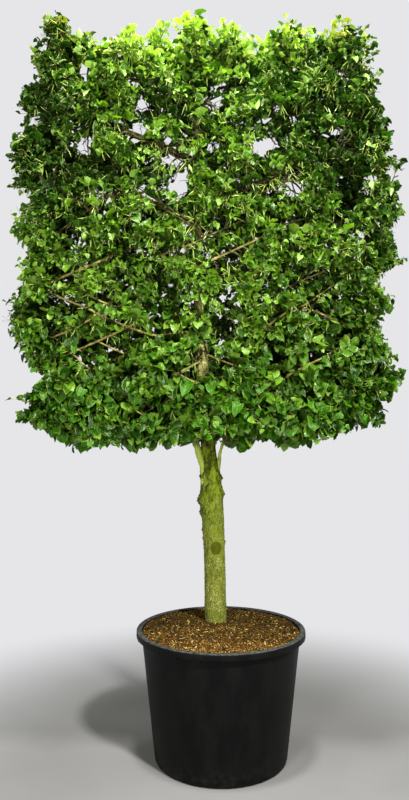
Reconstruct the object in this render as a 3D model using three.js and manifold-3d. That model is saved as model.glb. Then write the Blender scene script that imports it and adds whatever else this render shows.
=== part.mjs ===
// A pleached linden: a young broadleaf tree trained flat, with its crown clipped to an upright
// rectangle, growing in a round nursery container. Millimetres, +Z up, +X to the right of the
// crown's broad face, which looks along -Y. The origin is the centre of the container's underside.
import * as THREE from "three";
import { mergeVertices } from "three/addons/utils/BufferGeometryUtils.js";
import Module from "manifold-3d";

const wasm = await Module();
wasm.setup();

// ---------------------------------------------------------------- driving dimensions
const POT = {
  height: 712, // floor of the room to the top of the rim
  rimRadius: 471, // outside of the turned-down collar
  bodyTopRadius: 438, // outside of the wall, just under the collar
  baseRadius: 367,
  cornerRadius: 26, // where the wall turns into the underside
  wall: 5,
  collarDrop: 38, // how far the collar hangs down outside the wall
  collarRoll: 13, // radius of the collar's rounded top edges
  lugWidth: 46,
  lugHeight: 20,
  segments: 36,
};
const SOIL = {
  edgeDrop: 12, // below the rim's top, at the wall
  seatHeight: 730, // level ground around the foot of the trunk
  seatRadius: 95,
  roughness: 5,
  rings: 4,
};
const TRUNK = {
  x: -26, // the foot stands a little off the container's axis
  y: 80,
  footRadius: 67,
  tipHeight: 4010,
  sides: 10,
  rings: 23,
};
// Sideways drift and radius by height: the stem leans gently left, steps in where the first
// limbs leave it, and runs on as a leader to the top of the crown.
const STEM = [
  { z: SOIL.seatHeight, x: TRUNK.x, radius: TRUNK.footRadius },
  { z: 830, x: -28, radius: 60 },
  { z: 1160, x: -36, radius: 60 },
  { z: 1420, x: -49, radius: 64 },
  { z: 1580, x: -57, radius: 63 },
  { z: 1650, x: -61, radius: 42 },
  { z: 2190, x: -108, radius: 40 },
  { z: 2970, x: -137, radius: 23 },
  { z: TRUNK.tipHeight, x: -142, radius: 7 },
];

const CROWN = {
  base: 1735, // underside of the lowest tier
  top: 4075, // clipped top
  cornerLift: 75, // how much higher the underside's right-hand corner is
  halfDepth: 300, // half of the clipped thickness, about the trunk's plane
  overlap: 1.1, // size of a mass before it is cut to its cell, as a share of the cell
  beyond: 400, // how far the outermost cells are open outwards
  channel: 14, // clear space left round the trunk where it runs up through foliage
  channelLevels: 10,
};
// Each tier from the bottom up: how far its foliage reaches to the left and to the right of the
// origin, its half depth as a share of the crown's, and how far out from the trunk its boughs
// run bare before they enter foliage. The lowest pair forks from the bare stem instead.
const TIERS = [
  { left: 1130, right: 965, depth: 1.02, bareLeft: 0, bareRight: 0 },
  { left: 1120, right: 985, depth: 1.06, bareLeft: 170, bareRight: 190 },
  { left: 1175, right: 910, depth: 0.97, bareLeft: 240, bareRight: 170 },
  { left: 1145, right: 1010, depth: 1.04, bareLeft: 200, bareRight: 230 },
  { left: 1160, right: 980, depth: 0.96, bareLeft: 300, bareRight: 260 },
  { left: 1150, right: 940, depth: 1.0, bareLeft: 350, bareRight: 190 },
  { left: 1105, right: 905, depth: 0.92, bareLeft: 170, bareRight: 150 },
];
// Unclipped tufts that stand above the top, by where their middle is.
const TUFTS = [
  { name: "left", x: -830, rise: 80 },
  { name: "middle", x: -95, rise: 76 },
  { name: "right", x: 650, rise: 84 },
];
const TUFT = { halfWidth: 215, halfDepth: 190, halfHeight: 95 };
const BOUGH = {
  rootRadius: 20, // at the trunk, on the lowest grown tier
  rootRadiusTop: 11, // at the trunk, on the highest tier
  taper: 0.6, // radius where it enters foliage, as a share of the root's
  rise: 26, // degrees above level
  strayRise: 4,
  belowTier: 34, // how far under its tier's foliage it leaves the trunk
  strayHeight: 8,
  sway: 0.06, // out of the crown's plane, per unit of length
  arch: 0.03, // upward bow at its middle, per unit of bare length
  hidden: 60, // runs on this far before it is cut where it enters foliage
  headroom: 46, // half height of the opening that it runs through
  sides: 6,
  rings: 4,
};
// The lowest pair part from the bare stem at the fork and climb beside the leader.
const FORK = {
  left: { x: [-84, -98, -134, -160, -270], z: [1490, 1585, 1676, 1760, 1900], radius: 19 },
  right: { x: [-22, -12, -6, 14, 95], z: [1540, 1610, 1680, 1750, 1880], radius: 14 },
};

// How a mass of foliage is shaped: faces round its middle and along it, how square it is (2 is an
// ellipsoid), the height of its lobes as a share of its size, and how far it strays from its
// tier's plane and height.
const CLUMP = { around: 12, along: 5, corner: 3.4, lobes: 0.1, strayY: 14, strayZ: 12 };
const SEAT = 0.4; // clearance between pieces that carry each other

// ---------------------------------------------------------------- mesh helpers
// A closed surface from rings that run counter-clockwise about the direction they advance in.
function loft(rings) {
  const n = rings[0].length;
  const middle = (ring) =>
    ring.reduce((sum, p) => sum.add(p), new THREE.Vector3()).divideScalar(n);
  const points = [middle(rings[0]), ...rings.flat(), middle(rings.at(-1))];
  const at = (i, j) => 1 + i * n + (j % n);
  const last = rings.length - 1;
  const faces = [];
  for (let j = 0; j < n; j++) {
    faces.push(0, at(0, j + 1), at(0, j));
    faces.push(points.length - 1, at(last, j), at(last, j + 1));
    for (let i = 0; i < last; i++) {
      faces.push(at(i, j), at(i, j + 1), at(i + 1, j + 1));
      faces.push(at(i, j), at(i + 1, j + 1), at(i + 1, j));
    }
  }
  return new THREE.BufferGeometry().setFromPoints(points).setIndex(faces);
}

function solidOf(geometry) {
  const bare = geometry.clone();
  bare.deleteAttribute("normal");
  bare.deleteAttribute("uv");
  const merged = mergeVertices(bare, 1e-3);
  return new wasm.Manifold(
    new wasm.Mesh({
      numProp: 3,
      vertProperties: Float32Array.from(merged.attributes.position.array),
      triVerts: Uint32Array.from(merged.index.array),
    }),
  );
}

// The largest body of a solid, as flat-shaded geometry.
function geometryOf(solid) {
  const bodies = solid.decompose().sort((a, b) => b.volume() - a.volume());
  const mesh = bodies[0].getMesh();
  const points = [];
  for (let i = 0; i < mesh.numVert; i++) {
    const from = i * mesh.numProp;
    points.push(new THREE.Vector3(...mesh.vertProperties.subarray(from, from + 3)));
  }
  const indexed = new THREE.BufferGeometry().setFromPoints(points).setIndex([...mesh.triVerts]);
  const flat = indexed.toNonIndexed();
  flat.computeVertexNormals();
  return flat;
}

// A smooth, repeatable unevenness between -1 and 1, from a few waves.
function ripple(a, b, seed) {
  return (
    0.5 * Math.sin(2 * a + 1.7 * seed) +
    0.3 * Math.sin(3 * b - 2.3 * seed + a) +
    0.2 * Math.sin(5 * a + 4 * b + 0.9 * seed)
  );
}

// ---------------------------------------------------------------- container
function arc(cx, cz, radius, fromDeg, toDeg, steps) {
  return Array.from({ length: steps + 1 }, (_, i) => {
    const a = THREE.MathUtils.degToRad(fromDeg + ((toDeg - fromDeg) * i) / steps);
    return new THREE.Vector2(cx + radius * Math.cos(a), cz + radius * Math.sin(a));
  });
}

// The wall's outer radius at a height.
const potRadiusAt = (z) =>
  POT.baseRadius + ((POT.bodyTopRadius - POT.baseRadius) * z) / (POT.height - POT.collarRoll);

function potSolid() {
  const p = POT;
  const top = p.height;
  const rollOut = p.rimRadius - p.collarRoll;
  const rollIn = p.bodyTopRadius - p.wall + p.collarRoll;
  const skirtFoot = top - p.collarDrop;
  const profile = [
    new THREE.Vector2(0, 0),
    ...arc(p.baseRadius - p.cornerRadius, p.cornerRadius, p.cornerRadius, -90, 0, 3),
    new THREE.Vector2(potRadiusAt(top - p.collarRoll), top - p.collarRoll),
    // the underside of the hollow collar, and its skirt
    new THREE.Vector2(rollIn, top - p.wall),
    new THREE.Vector2(rollOut, top - p.wall),
    new THREE.Vector2(p.rimRadius - p.wall, top - p.collarRoll),
    new THREE.Vector2(p.rimRadius - p.wall, skirtFoot),
    new THREE.Vector2(p.rimRadius, skirtFoot),
    ...arc(rollOut, top - p.collarRoll, p.collarRoll, 0, 90, 2),
    ...arc(rollIn, top - p.collarRoll, p.collarRoll, 90, 180, 2),
    new THREE.Vector2(potRadiusAt(p.wall) - p.wall, p.wall + p.cornerRadius / 2),
    new THREE.Vector2(p.baseRadius - p.cornerRadius, p.wall),
    new THREE.Vector2(0, p.wall),
  ];
  const shell = solidOf(new THREE.LatheGeometry(profile, p.segments).rotateX(Math.PI / 2));
  // a lifting lug between the wall and the skirt's foot, at each end of the broad side
  return [1, -1].reduce((pot, side) => {
    const inner = potRadiusAt(skirtFoot) - p.wall / 2;
    const length = p.rimRadius - p.wall / 2 - inner;
    const lug = new THREE.BoxGeometry(length, p.lugWidth, p.lugHeight);
    lug.translate(side * (inner + length / 2), 0, skirtFoot);
    return pot.add(solidOf(lug));
  }, shell);
}

// ---------------------------------------------------------------- planting mix
// Height of the mix's surface: level round the trunk, falling to just under the rim.
function soilHeight(x, y) {
  const fromTrunk = Math.hypot(x - TRUNK.x, y - TRUNK.y);
  const edge = POT.height - SOIL.edgeDrop;
  const reach = POT.bodyTopRadius - POT.wall;
  const towardsEdge = THREE.MathUtils.smoothstep(fromTrunk, SOIL.seatRadius, reach);
  const rough = SOIL.roughness * towardsEdge * ripple(x / 60, y / 60, 3);
  return SOIL.seatHeight + (edge - SOIL.seatHeight) * towardsEdge + rough;
}

function soilSolid() {
  // rings up the outside, a hair inside the container's wall, then inwards over the top
  const inside = POT.wall + SEAT;
  const floor = POT.wall + SEAT;
  const rim = POT.height - SOIL.edgeDrop - 2 * SOIL.roughness;
  const around = (radius, height) =>
    Array.from({ length: POT.segments }, (_, j) => {
      const a = (2 * Math.PI * j) / POT.segments;
      const x = radius * Math.cos(a);
      const y = radius * Math.sin(a);
      return new THREE.Vector3(x, y, height ?? soilHeight(x, y));
    });
  const rings = [
    around(POT.baseRadius - POT.cornerRadius - inside, floor),
    around(potRadiusAt(POT.wall) - inside, floor + POT.cornerRadius / 2 + inside),
    around(potRadiusAt(rim) - inside, rim),
  ];
  const outermost = potRadiusAt(rim) - inside;
  for (let i = SOIL.rings; i > 0; i--) rings.push(around((outermost * i) / SOIL.rings - 0.5));
  const mix = solidOf(loft(rings));
  // the trunk's foot stands on a level seat, so whatever rises above it there is taken off
  const deep = 60;
  const seat = new THREE.CylinderGeometry(SOIL.seatRadius, SOIL.seatRadius, deep, 24);
  seat.rotateX(Math.PI / 2).translate(TRUNK.x, TRUNK.y, SOIL.seatHeight + deep / 2);
  return mix.subtract(solidOf(seat));
}

// ---------------------------------------------------------------- trunk and leader
function stemAt(height) {
  const z = THREE.MathUtils.clamp(height, STEM[0].z, TRUNK.tipHeight);
  const i = Math.max(1, STEM.findIndex((s) => s.z >= z));
  const [a, b] = [STEM[i - 1], STEM[i]];
  const t = (z - a.z) / (b.z - a.z);
  return {
    x: THREE.MathUtils.lerp(a.x, b.x, t),
    radius: THREE.MathUtils.lerp(a.radius, b.radius, t),
  };
}

// The stem, grown outwards by a clearance where something is to be cut round it.
function stemSolid(clearance = 0, levels = TRUNK.rings) {
  const bottom = SOIL.seatHeight + SEAT - clearance;
  const top = TRUNK.tipHeight + clearance;
  const rings = Array.from({ length: levels }, (_, i) => {
    const z = bottom + ((top - bottom) * i) / (levels - 1);
    const { x, radius } = stemAt(z);
    return Array.from({ length: TRUNK.sides }, (_, j) => {
      const a = (2 * Math.PI * j) / TRUNK.sides;
      const r = (radius + clearance) * (1 + 0.03 * ripple(a, z / 180, 1));
      return new THREE.Vector3(x + r * Math.cos(a), TRUNK.y + r * Math.sin(a), z);
    });
  });
  return solidOf(loft(rings));
}

// ---------------------------------------------------------------- tiers
const tierHeight = (CROWN.top - CROWN.base) / TIERS.length;
const tierBase = (i) => CROWN.base + i * tierHeight;

// A limb along a curve, tapering evenly from root to tip.
function limbSolid(curve, root, tip) {
  const side = new THREE.Vector3(0, 1, 0);
  const rings = Array.from({ length: BOUGH.rings }, (_, i) => {
    const t = i / (BOUGH.rings - 1);
    const centre = curve.getPointAt(t);
    const along = curve.getTangentAt(t);
    const over = new THREE.Vector3().crossVectors(along, side).normalize();
    const across = new THREE.Vector3().crossVectors(along, over).normalize();
    const radius = THREE.MathUtils.lerp(root, tip, t);
    return Array.from({ length: BOUGH.sides }, (_, j) => {
      const a = (2 * Math.PI * j) / BOUGH.sides;
      return centre
        .clone()
        .addScaledVector(over, radius * Math.cos(a))
        .addScaledVector(across, radius * Math.sin(a));
    });
  });
  return solidOf(loft(rings));
}

function forkCurve(side) {
  const { x, z } = side < 0 ? FORK.left : FORK.right;
  return new THREE.CatmullRomCurve3(x.map((xi, i) => new THREE.Vector3(xi, TRUNK.y - 10, z[i])));
}

// Where a tier's bough leaves the trunk's axis, and which way it runs.
function boughLine(tier, side) {
  const z = tierBase(tier) - BOUGH.belowTier + BOUGH.strayHeight * Math.sin(3 * tier + side);
  const angle = BOUGH.rise + BOUGH.strayRise * Math.sin(5 * tier + 2 * side);
  const rise = THREE.MathUtils.degToRad(angle);
  const sway = BOUGH.sway * Math.sin(4 * tier + 3 * side);
  return {
    bare: side < 0 ? TIERS[tier].bareLeft : TIERS[tier].bareRight,
    start: new THREE.Vector3(stemAt(z).x, TRUNK.y, z),
    along: new THREE.Vector3(side * Math.cos(rise), sway, Math.sin(rise)).normalize(),
  };
}

function boughRadius(tier, side) {
  if (tier === 0) return side < 0 ? FORK.left.radius : FORK.right.radius;
  return THREE.MathUtils.lerp(BOUGH.rootRadius, BOUGH.rootRadiusTop, tier / (TIERS.length - 1));
}

function boughSolid(tier, side) {
  const root = boughRadius(tier, side);
  if (tier === 0) return limbSolid(forkCurve(side), root, root * BOUGH.taper);
  const { bare, start, along } = boughLine(tier, side);
  const end = start.clone().addScaledVector(along, bare + BOUGH.hidden);
  const crest = start.clone().lerp(end, 0.5);
  crest.z += bare * BOUGH.arch;
  return limbSolid(new THREE.CatmullRomCurve3([start, crest, end]), root, root * BOUGH.taper);
}

// The opening round a bare bough: a slanting lens through the whole depth of the crown, from
// inside the trunk to the bough's bare length.
function openingSolid(tier, side, clearance = 0) {
  const { bare, start, along } = boughLine(tier, side);
  const inTrunk = 2 * BOUGH.rootRadius;
  const lens = new THREE.CylinderGeometry(1, 1, 4 * CROWN.halfDepth, 8);
  lens.scale((bare + inTrunk) / 2 - clearance, 1, BOUGH.headroom);
  lens.rotateY(-side * Math.asin(along.z));
  const middle = start.clone().addScaledVector(along, (bare - inTrunk) / 2);
  return solidOf(lens.translate(middle.x, TRUNK.y, middle.z));
}

// ---------------------------------------------------------------- foliage
// An uneven rounded block: a sphere pushed out towards its box's corners, its skin in gentle
// lobes.
function clumpSolid({ centre, half, seed }, clearance = 0) {
  const ball = new THREE.SphereGeometry(1, CLUMP.around, CLUMP.along).rotateZ(Math.PI / 2);
  const position = ball.attributes.position;
  const n = new THREE.Vector3();
  for (let i = 0; i < position.count; i++) {
    n.fromBufferAttribute(position, i);
    const k = CLUMP.corner;
    const block = (Math.abs(n.x) ** k + Math.abs(n.y) ** k + Math.abs(n.z) ** k) ** (-1 / k);
    const lobe = 1 + CLUMP.lobes * ripple(2.1 * n.x + n.z, 1.6 * n.y - n.x, seed);
    n.multiplyScalar(block * lobe);
    position.setXYZ(
      i,
      centre.x + n.x * (half.x + clearance),
      centre.y + n.y * (half.y + clearance),
      centre.z + n.z * (half.z + clearance),
    );
  }
  return solidOf(ball);
}

// The masses tier by tier from the bottom: on each side an inner one by the trunk and an outer
// one carried by it. Each keeps to its own cell, so that neighbours meet face to face.
function tierClumps() {
  const clumps = [];
  TIERS.forEach((tier, i) => {
    for (const side of [-1, 1]) {
      const axis = stemAt(tierBase(i + 0.5)).x;
      const reach = side < 0 ? tier.left + axis : tier.right - axis;
      const split = reach * (0.5 + 0.1 * Math.sin(2.4 * i + side));
      const zones = [
        { name: "inner", from: 0, to: split, cellTo: split },
        { name: "outer", from: split, to: reach, cellTo: reach + CROWN.beyond },
      ];
      zones.forEach(({ name, from, to, cellTo }, j) => {
        const seed = 4 * i + 2 * j + (side + 1) / 2;
        const ends = [axis + side * (from + SEAT / 2), axis + side * (cellTo - SEAT / 2)];
        const grown = CROWN.overlap * (to - from);
        const lift = i === 0 && side > 0 && name === "outer" ? CROWN.cornerLift : 0;
        clumps.push({
          name: `foliage_${side < 0 ? "left" : "right"}_${i + 1}_${name}`,
          centre: new THREE.Vector3(
            axis + side * (name === "inner" ? (from + to) / 2 : to - grown / 2),
            TRUNK.y + CLUMP.strayY * Math.sin(seed),
            tierBase(i + 0.5) + CLUMP.strayZ * Math.sin(1.7 * seed) + lift / 2,
          ),
          half: new THREE.Vector3(
            grown / 2,
            CROWN.halfDepth * tier.depth,
            (tierHeight / 2) * CROWN.overlap - lift / 2,
          ),
          seed,
          cell: new THREE.Box3(
            new THREE.Vector3(Math.min(...ends), -CROWN.beyond, i ? tierBase(i) + SEAT / 2 : 0),
            new THREE.Vector3(
              Math.max(...ends),
              CROWN.beyond * 2,
              i < TIERS.length - 1 ? tierBase(i + 1) - SEAT / 2 : CROWN.top + CROWN.beyond,
            ),
          ),
        });
      });
    }
  });
  return clumps;
}

function boxSolid(box) {
  const size = box.getSize(new THREE.Vector3());
  const centre = box.getCenter(new THREE.Vector3());
  const block = new THREE.BoxGeometry(size.x, size.y, size.z);
  return solidOf(block.translate(centre.x, centre.y, centre.z));
}

function tuftClumps() {
  return TUFTS.map(({ name, x, rise }, i) => ({
    name: `foliage_top_${name}`,
    centre: new THREE.Vector3(x, TRUNK.y, CROWN.top + rise - TUFT.halfHeight),
    half: new THREE.Vector3(TUFT.halfWidth, TUFT.halfDepth, TUFT.halfHeight),
    seed: 40 + i,
  }));
}

// ---------------------------------------------------------------- assembly
const BARK = new THREE.MeshStandardMaterial({ color: 0x8a9440, roughness: 0.85, metalness: 0 });
const LEAF = new THREE.MeshStandardMaterial({ color: 0x4f8a22, roughness: 0.55, metalness: 0 });
const PLASTIC = new THREE.MeshStandardMaterial({ color: 0x17181a, roughness: 0.5, metalness: 0 });
const MIX = new THREE.MeshStandardMaterial({ color: 0x8a6a35, roughness: 0.95, metalness: 0 });

const tree = new THREE.Group();

function addNode(name, solid, material) {
  const mesh = new THREE.Mesh(geometryOf(solid), material);
  mesh.name = name;
  tree.add(mesh);
}

const leader = stemSolid();
const roundLeader = stemSolid(SEAT);
const openRoundLeader = stemSolid(CROWN.channel, CROWN.channelLevels);
const clumps = tierClumps();
const limbs = TIERS.flatMap((_, tier) => [-1, 1].map((side) => ({ tier, side })));
const bareLimbs = limbs.filter(({ tier }) => tier > 0);
const openings = bareLimbs.map(({ tier, side }) => openingSolid(tier, side));

addNode("pot", potSolid(), PLASTIC);
addNode("soil", soilSolid(), MIX);
addNode("trunk", leader, BARK);

for (const { tier, side } of limbs) {
  const name = `bough_${side < 0 ? "left" : "right"}_${tier + 1}`;
  const limb = boughSolid(tier, side).subtract(roundLeader);
  const lowest = clumps.filter((clump) => clump.name.includes("_1_"));
  const bare =
    tier > 0
      ? limb.intersect(openingSolid(tier, side, SEAT))
      : lowest.reduce((rest, clump) => rest.subtract(clumpSolid(clump, SEAT)), limb);
  addNode(name, bare, BARK);
}

for (const clump of clumps) {
  const whole = clumpSolid(clump).intersect(boxSolid(clump.cell)).subtract(openRoundLeader);
  addNode(clump.name, openings.reduce((mass, opening) => mass.subtract(opening), whole), LEAF);
}

const topTier = clumps.filter((clump) => clump.cell.max.z > CROWN.top);
for (const tuft of tuftClumps()) {
  const whole = clumpSolid(tuft).subtract(openRoundLeader);
  const seated = topTier.reduce((mass, clump) => mass.subtract(clumpSolid(clump, SEAT)), whole);
  addNode(tuft.name, seated, LEAF);
}

export default tree;
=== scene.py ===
import bpy
import numpy as np
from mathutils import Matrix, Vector


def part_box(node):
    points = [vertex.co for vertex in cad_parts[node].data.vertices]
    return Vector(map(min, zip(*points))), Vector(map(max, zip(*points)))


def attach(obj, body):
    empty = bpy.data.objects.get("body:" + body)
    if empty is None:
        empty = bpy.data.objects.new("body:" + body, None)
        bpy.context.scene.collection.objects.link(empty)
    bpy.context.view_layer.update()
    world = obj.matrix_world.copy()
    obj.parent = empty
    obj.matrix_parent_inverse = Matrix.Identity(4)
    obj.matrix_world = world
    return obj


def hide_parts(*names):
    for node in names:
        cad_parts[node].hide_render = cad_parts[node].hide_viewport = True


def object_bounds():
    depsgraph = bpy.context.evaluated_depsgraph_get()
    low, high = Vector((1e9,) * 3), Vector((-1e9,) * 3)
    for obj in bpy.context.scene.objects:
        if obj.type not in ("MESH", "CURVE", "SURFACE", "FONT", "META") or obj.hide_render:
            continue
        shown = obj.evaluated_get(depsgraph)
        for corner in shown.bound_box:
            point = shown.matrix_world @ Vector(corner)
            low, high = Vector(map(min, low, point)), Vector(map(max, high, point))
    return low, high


# A pleached linden in a nursery container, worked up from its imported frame. Metres, +Z up, the
# crown's broad face looks along -Y.

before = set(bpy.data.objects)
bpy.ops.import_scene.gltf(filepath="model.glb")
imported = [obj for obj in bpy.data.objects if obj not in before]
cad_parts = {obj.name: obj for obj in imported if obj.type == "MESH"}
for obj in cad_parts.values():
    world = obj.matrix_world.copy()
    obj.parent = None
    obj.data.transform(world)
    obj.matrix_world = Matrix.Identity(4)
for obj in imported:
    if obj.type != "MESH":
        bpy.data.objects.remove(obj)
CAD_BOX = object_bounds()

# ---------------------------------------------------------------- driving values
SEED = 11  # of the crown's growth; the mix and the bare limbs take the next two
UP = np.array([0.0, 0.0, 1.0])
FRONT = np.array([0.0, -1.0, 0.0])

EYE = np.array([-0.0915, -4.029, 1.861])  # where the viewer stands
EYE_TILT = 91.83  # degrees from straight down
EYE_LENS = 31.97  # on a 36 mm sensor
AMBIENT = {"colour": (0.97, 1.0, 0.76, 1.0), "strength": 0.135}  # light from all round
BACKDROP = (0.79, 0.79, 0.81, 1.0)
KEY = np.array([1.9, -3.6, 4.7])  # where the main lamp hangs
# Each lamp's place, what it is aimed at, the side of its square, and its watts.
LAMPS = {
    "key": (KEY, (0, 0, 2.2), 0.5, 475),
    "top": ((-0.15, 0.75, 5.6), (-0.10, 0.1, 4.0), 0.9, 72),
    "over": ((-0.20, -1.20, 5.9), (-0.10, -0.25, 3.4), 0.5, 215),
    "fill": ((-1.6, -4.0, 2.2), (-0.4, 0, 2.3), 0.9, 130),
}
FLOOR = {"radius": 14.0, "corners": 96, "fade": (0.9, 2.8)}

# The stem: rows of its skin below and above the fork and columns round it, how far its foot
# reaches into the mix, and the radii at which its relief and its swellings are measured.
BOLE = {
    "rows_low": 190, "rows_high": 120, "columns": 96, "fork": 1.80,
    "sunk": 0.012, "relief_at": 0.06, "knobs_at": 0.062,
}
SCAR = {"angle": -81, "height": 1.150, "radius": 0.036, "taller": 1.12}  # a healed pruning cut
# Swellings on the stem: angle in degrees, height, how far out, half width, half height.
KNOBS = [
    (183, 1.415, 0.018, 0.022, 0.036),
    (187, 1.345, 0.014, 0.018, 0.020),
    (180, 1.245, 0.007, 0.010, 0.009),
    (183, 1.198, 0.006, 0.009, 0.007),
    (4, 1.452, 0.014, 0.018, 0.022),
    (-38, 1.425, 0.008, 0.014, 0.034),
    (-70, 1.520, 0.006, 0.010, 0.008),
    (10, 1.545, 0.010, 0.016, 0.016),
    (4, 1.610, 0.007, 0.014, 0.014),
    (178, 1.560, 0.008, 0.014, 0.022),
    (0, 1.175, 0.006, 0.009, 0.010),
    (5, 1.700, -0.010, 0.030, 0.060),
    (95, 1.310, 0.012, 0.019, 0.026),
    (70, 1.080, 0.006, 0.013, 0.013),
    (130, 1.500, 0.010, 0.018, 0.022),
]

# The lowest pair of boughs, from inside the stem's head: (x, z) places and a radius.
FORK = {
    "bough_left_1": ([(-0.080, 1.49), (-0.092, 1.585), (-0.119, 1.676), (-0.146, 1.76)], 0.028),
    "bough_right_1": ([(-0.024, 1.54), (-0.010, 1.61), (-0.004, 1.68), (0.016, 1.75)], 0.0125),
}
FORK_Y = 0.066

# Limbs that stand bare in the crown's broad face: (x, z) where each comes out of the foliage and
# (x, z) where it goes back in, with its radius.
SHOWN_LIMBS = [
    (-0.23, 3.34, -0.60, 3.53, 0.0065),
    (-0.12, 3.48, -0.33, 3.38, 0.0055),
    (-0.26, 3.38, -0.54, 3.49, 0.0055),
    (-0.14, 2.94, -0.47, 3.14, 0.009),
    (-0.15, 2.96, -0.32, 3.07, 0.007),
    (-0.12, 2.88, -0.29, 2.81, 0.008),
    (-0.12, 2.88, 0.03, 2.95, 0.008),
    (-0.07, 2.75, 0.20, 2.87, 0.011),
    (0.18, 3.19, 0.40, 3.28, 0.011),
    (0.27, 3.17, 0.43, 3.26, 0.009),
    (-0.75, 3.06, -0.87, 3.14, 0.011),
    (-0.60, 3.15, -0.74, 3.05, 0.011),
    (-0.59, 3.12, -0.74, 3.14, 0.009),
    (-0.67, 2.76, -0.92, 2.65, 0.011),
    (-0.69, 2.47, -0.92, 2.57, 0.010),
    (-0.60, 2.51, -0.74, 2.57, 0.007),
    (-0.39, 2.35, -0.65, 2.45, 0.010),
    (-0.53, 2.38, -0.82, 2.25, 0.010),
    (0.43, 2.50, 0.60, 2.61, 0.009),
    (0.52, 2.48, 0.67, 2.42, 0.010),
    (0.40, 2.14, 0.58, 2.23, 0.010),
    (0.42, 2.64, 0.58, 2.71, 0.008),
    (-0.79, 2.40, -0.93, 2.34, 0.009),
    (-0.55, 2.25, -0.66, 2.30, 0.008),
    (-0.72, 2.16, -0.81, 2.23, 0.008),
    (-0.32, 1.97, -0.47, 1.90, 0.008),
    (0.27, 2.40, 0.35, 2.46, 0.009),
    (-0.12, 2.20, -0.27, 2.12, 0.009),
    (-0.12, 2.07, -0.25, 2.14, 0.009),
    (-0.06, 2.23, 0.06, 2.18, 0.008),
]
SHOWN_PLANE = -0.10  # how far forward they stand
LIMB = {"bough_steps": 48, "shown_steps": 40, "leader_steps": 80, "leader_from": 1.75}
BARE = slice(16, 31)  # the steps of a shown limb that run bare
BEARING = slice(4, 36)  # the steps of a bough that shown limbs may leave
BARE_STEPS = {"bough": 10, "shown": 6, "shoot": 3}  # steps from the foot that bear nothing

# Windows through the crown in its broad view: x, z, half width, half height, in the trunk's plane.
WINDOWS = [
    (-0.793, 3.902, 0.026, 0.050),
    (-0.517, 3.860, 0.024, 0.016),
    (-0.458, 3.723, 0.040, 0.028),
    (-0.803, 3.488, 0.056, 0.036),
    (-0.504, 3.553, 0.068, 0.040),
    (-0.323, 3.527, 0.028, 0.023),
    (-0.264, 3.409, 0.048, 0.042),
    (-0.223, 3.302, 0.028, 0.036),
    (-0.235, 3.220, 0.048, 0.036),
    (-0.048, 3.735, 0.062, 0.034),
    (-0.048, 3.474, 0.045, 0.020),
    (0.245, 3.474, 0.085, 0.040),
    (0.251, 3.634, 0.023, 0.023),
    (0.322, 3.705, 0.017, 0.017),
    (0.439, 3.652, 0.013, 0.013),
    (0.893, 3.279, 0.025, 0.013),
    (0.420, 3.220, 0.042, 0.030),
    (0.505, 2.749, 0.030, 0.028),
    (0.552, 2.720, 0.028, 0.023),
    (0.377, 2.749, 0.017, 0.017),
    (0.103, 2.411, 0.046, 0.034),
    (0.057, 2.621, 0.028, 0.028),
    (0.579, 2.370, 0.034, 0.017),
    (0.823, 2.370, 0.023, 0.017),
    (-0.054, 2.178, 0.023, 0.023),
]

# Where the leaders stand open to the crown's broad face: x, z, half width, half height, in the
# stem's plane. The foliage behind them closes these.
HOLLOWS = [
    (-0.110, 2.21, 0.075, 0.13),
    (-0.125, 2.52, 0.036, 0.08),
    (-0.110, 2.98, 0.060, 0.07),
    (0.070, 2.82, 0.060, 0.045),
    (-0.35, 2.86, 0.070, 0.030),
    (-0.70, 3.09, 0.080, 0.035),
    (-0.20, 3.40, 0.070, 0.050),
    (0.33, 3.22, 0.070, 0.040),
    (0.55, 2.52, 0.080, 0.040),
]

# The crown's clipped outline in its broad view: level, left edge, right edge.
SIDES = [
    (4.13, -0.93, 0.71),
    (4.01, -1.12, 0.86),
    (3.90, -1.10, 0.94),
    (3.78, -1.14, 0.89),
    (3.67, -1.18, 0.90),
    (3.56, -1.10, 0.93),
    (3.44, -1.19, 0.96),
    (3.33, -1.16, 0.89),
    (3.22, -1.16, 1.03),
    (3.10, -1.13, 1.04),
    (2.99, -1.10, 1.04),
    (2.88, -1.14, 0.98),
    (2.77, -1.11, 1.04),
    (2.65, -1.16, 0.86),
    (2.54, -1.23, 0.95),
    (2.43, -1.20, 0.90),
    (2.32, -1.11, 0.92),
    (2.21, -1.11, 0.98),
    (2.10, -1.02, 1.04),
    (1.99, -1.12, 0.87),
    (1.88, -1.15, 0.96),
    (1.77, -0.95, 0.65),
]
# ... and place across, underside, top.
ENDS = [
    (-1.14, 1.85, 3.83),
    (-1.03, 1.79, 4.10),
    (-0.92, 1.70, 4.16),
    (-0.80, 1.70, 4.10),
    (-0.69, 1.72, 4.05),
    (-0.57, 1.74, 4.04),
    (-0.46, 1.66, 4.05),
    (-0.35, 1.70, 4.08),
    (-0.23, 1.74, 4.10),
    (-0.12, 1.755, 4.18),
    (0.00, 1.755, 4.15),
    (0.11, 1.70, 4.07),
    (0.22, 1.70, 4.03),
    (0.34, 1.78, 4.04),
    (0.45, 1.73, 4.07),
    (0.57, 1.78, 4.09),
    (0.68, 1.78, 4.17),
    (0.79, 1.84, 4.10),
    (0.91, 1.84, 4.01),
]

# How far the tips of leaves and straps may go past the frame's box.
PAST_BOX = [[-0.055, -0.02, 0], [0.055, 0.02, 0.09]]
REACH = np.array([list(corner) for corner in CAD_BOX]) + PAST_BOX

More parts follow.
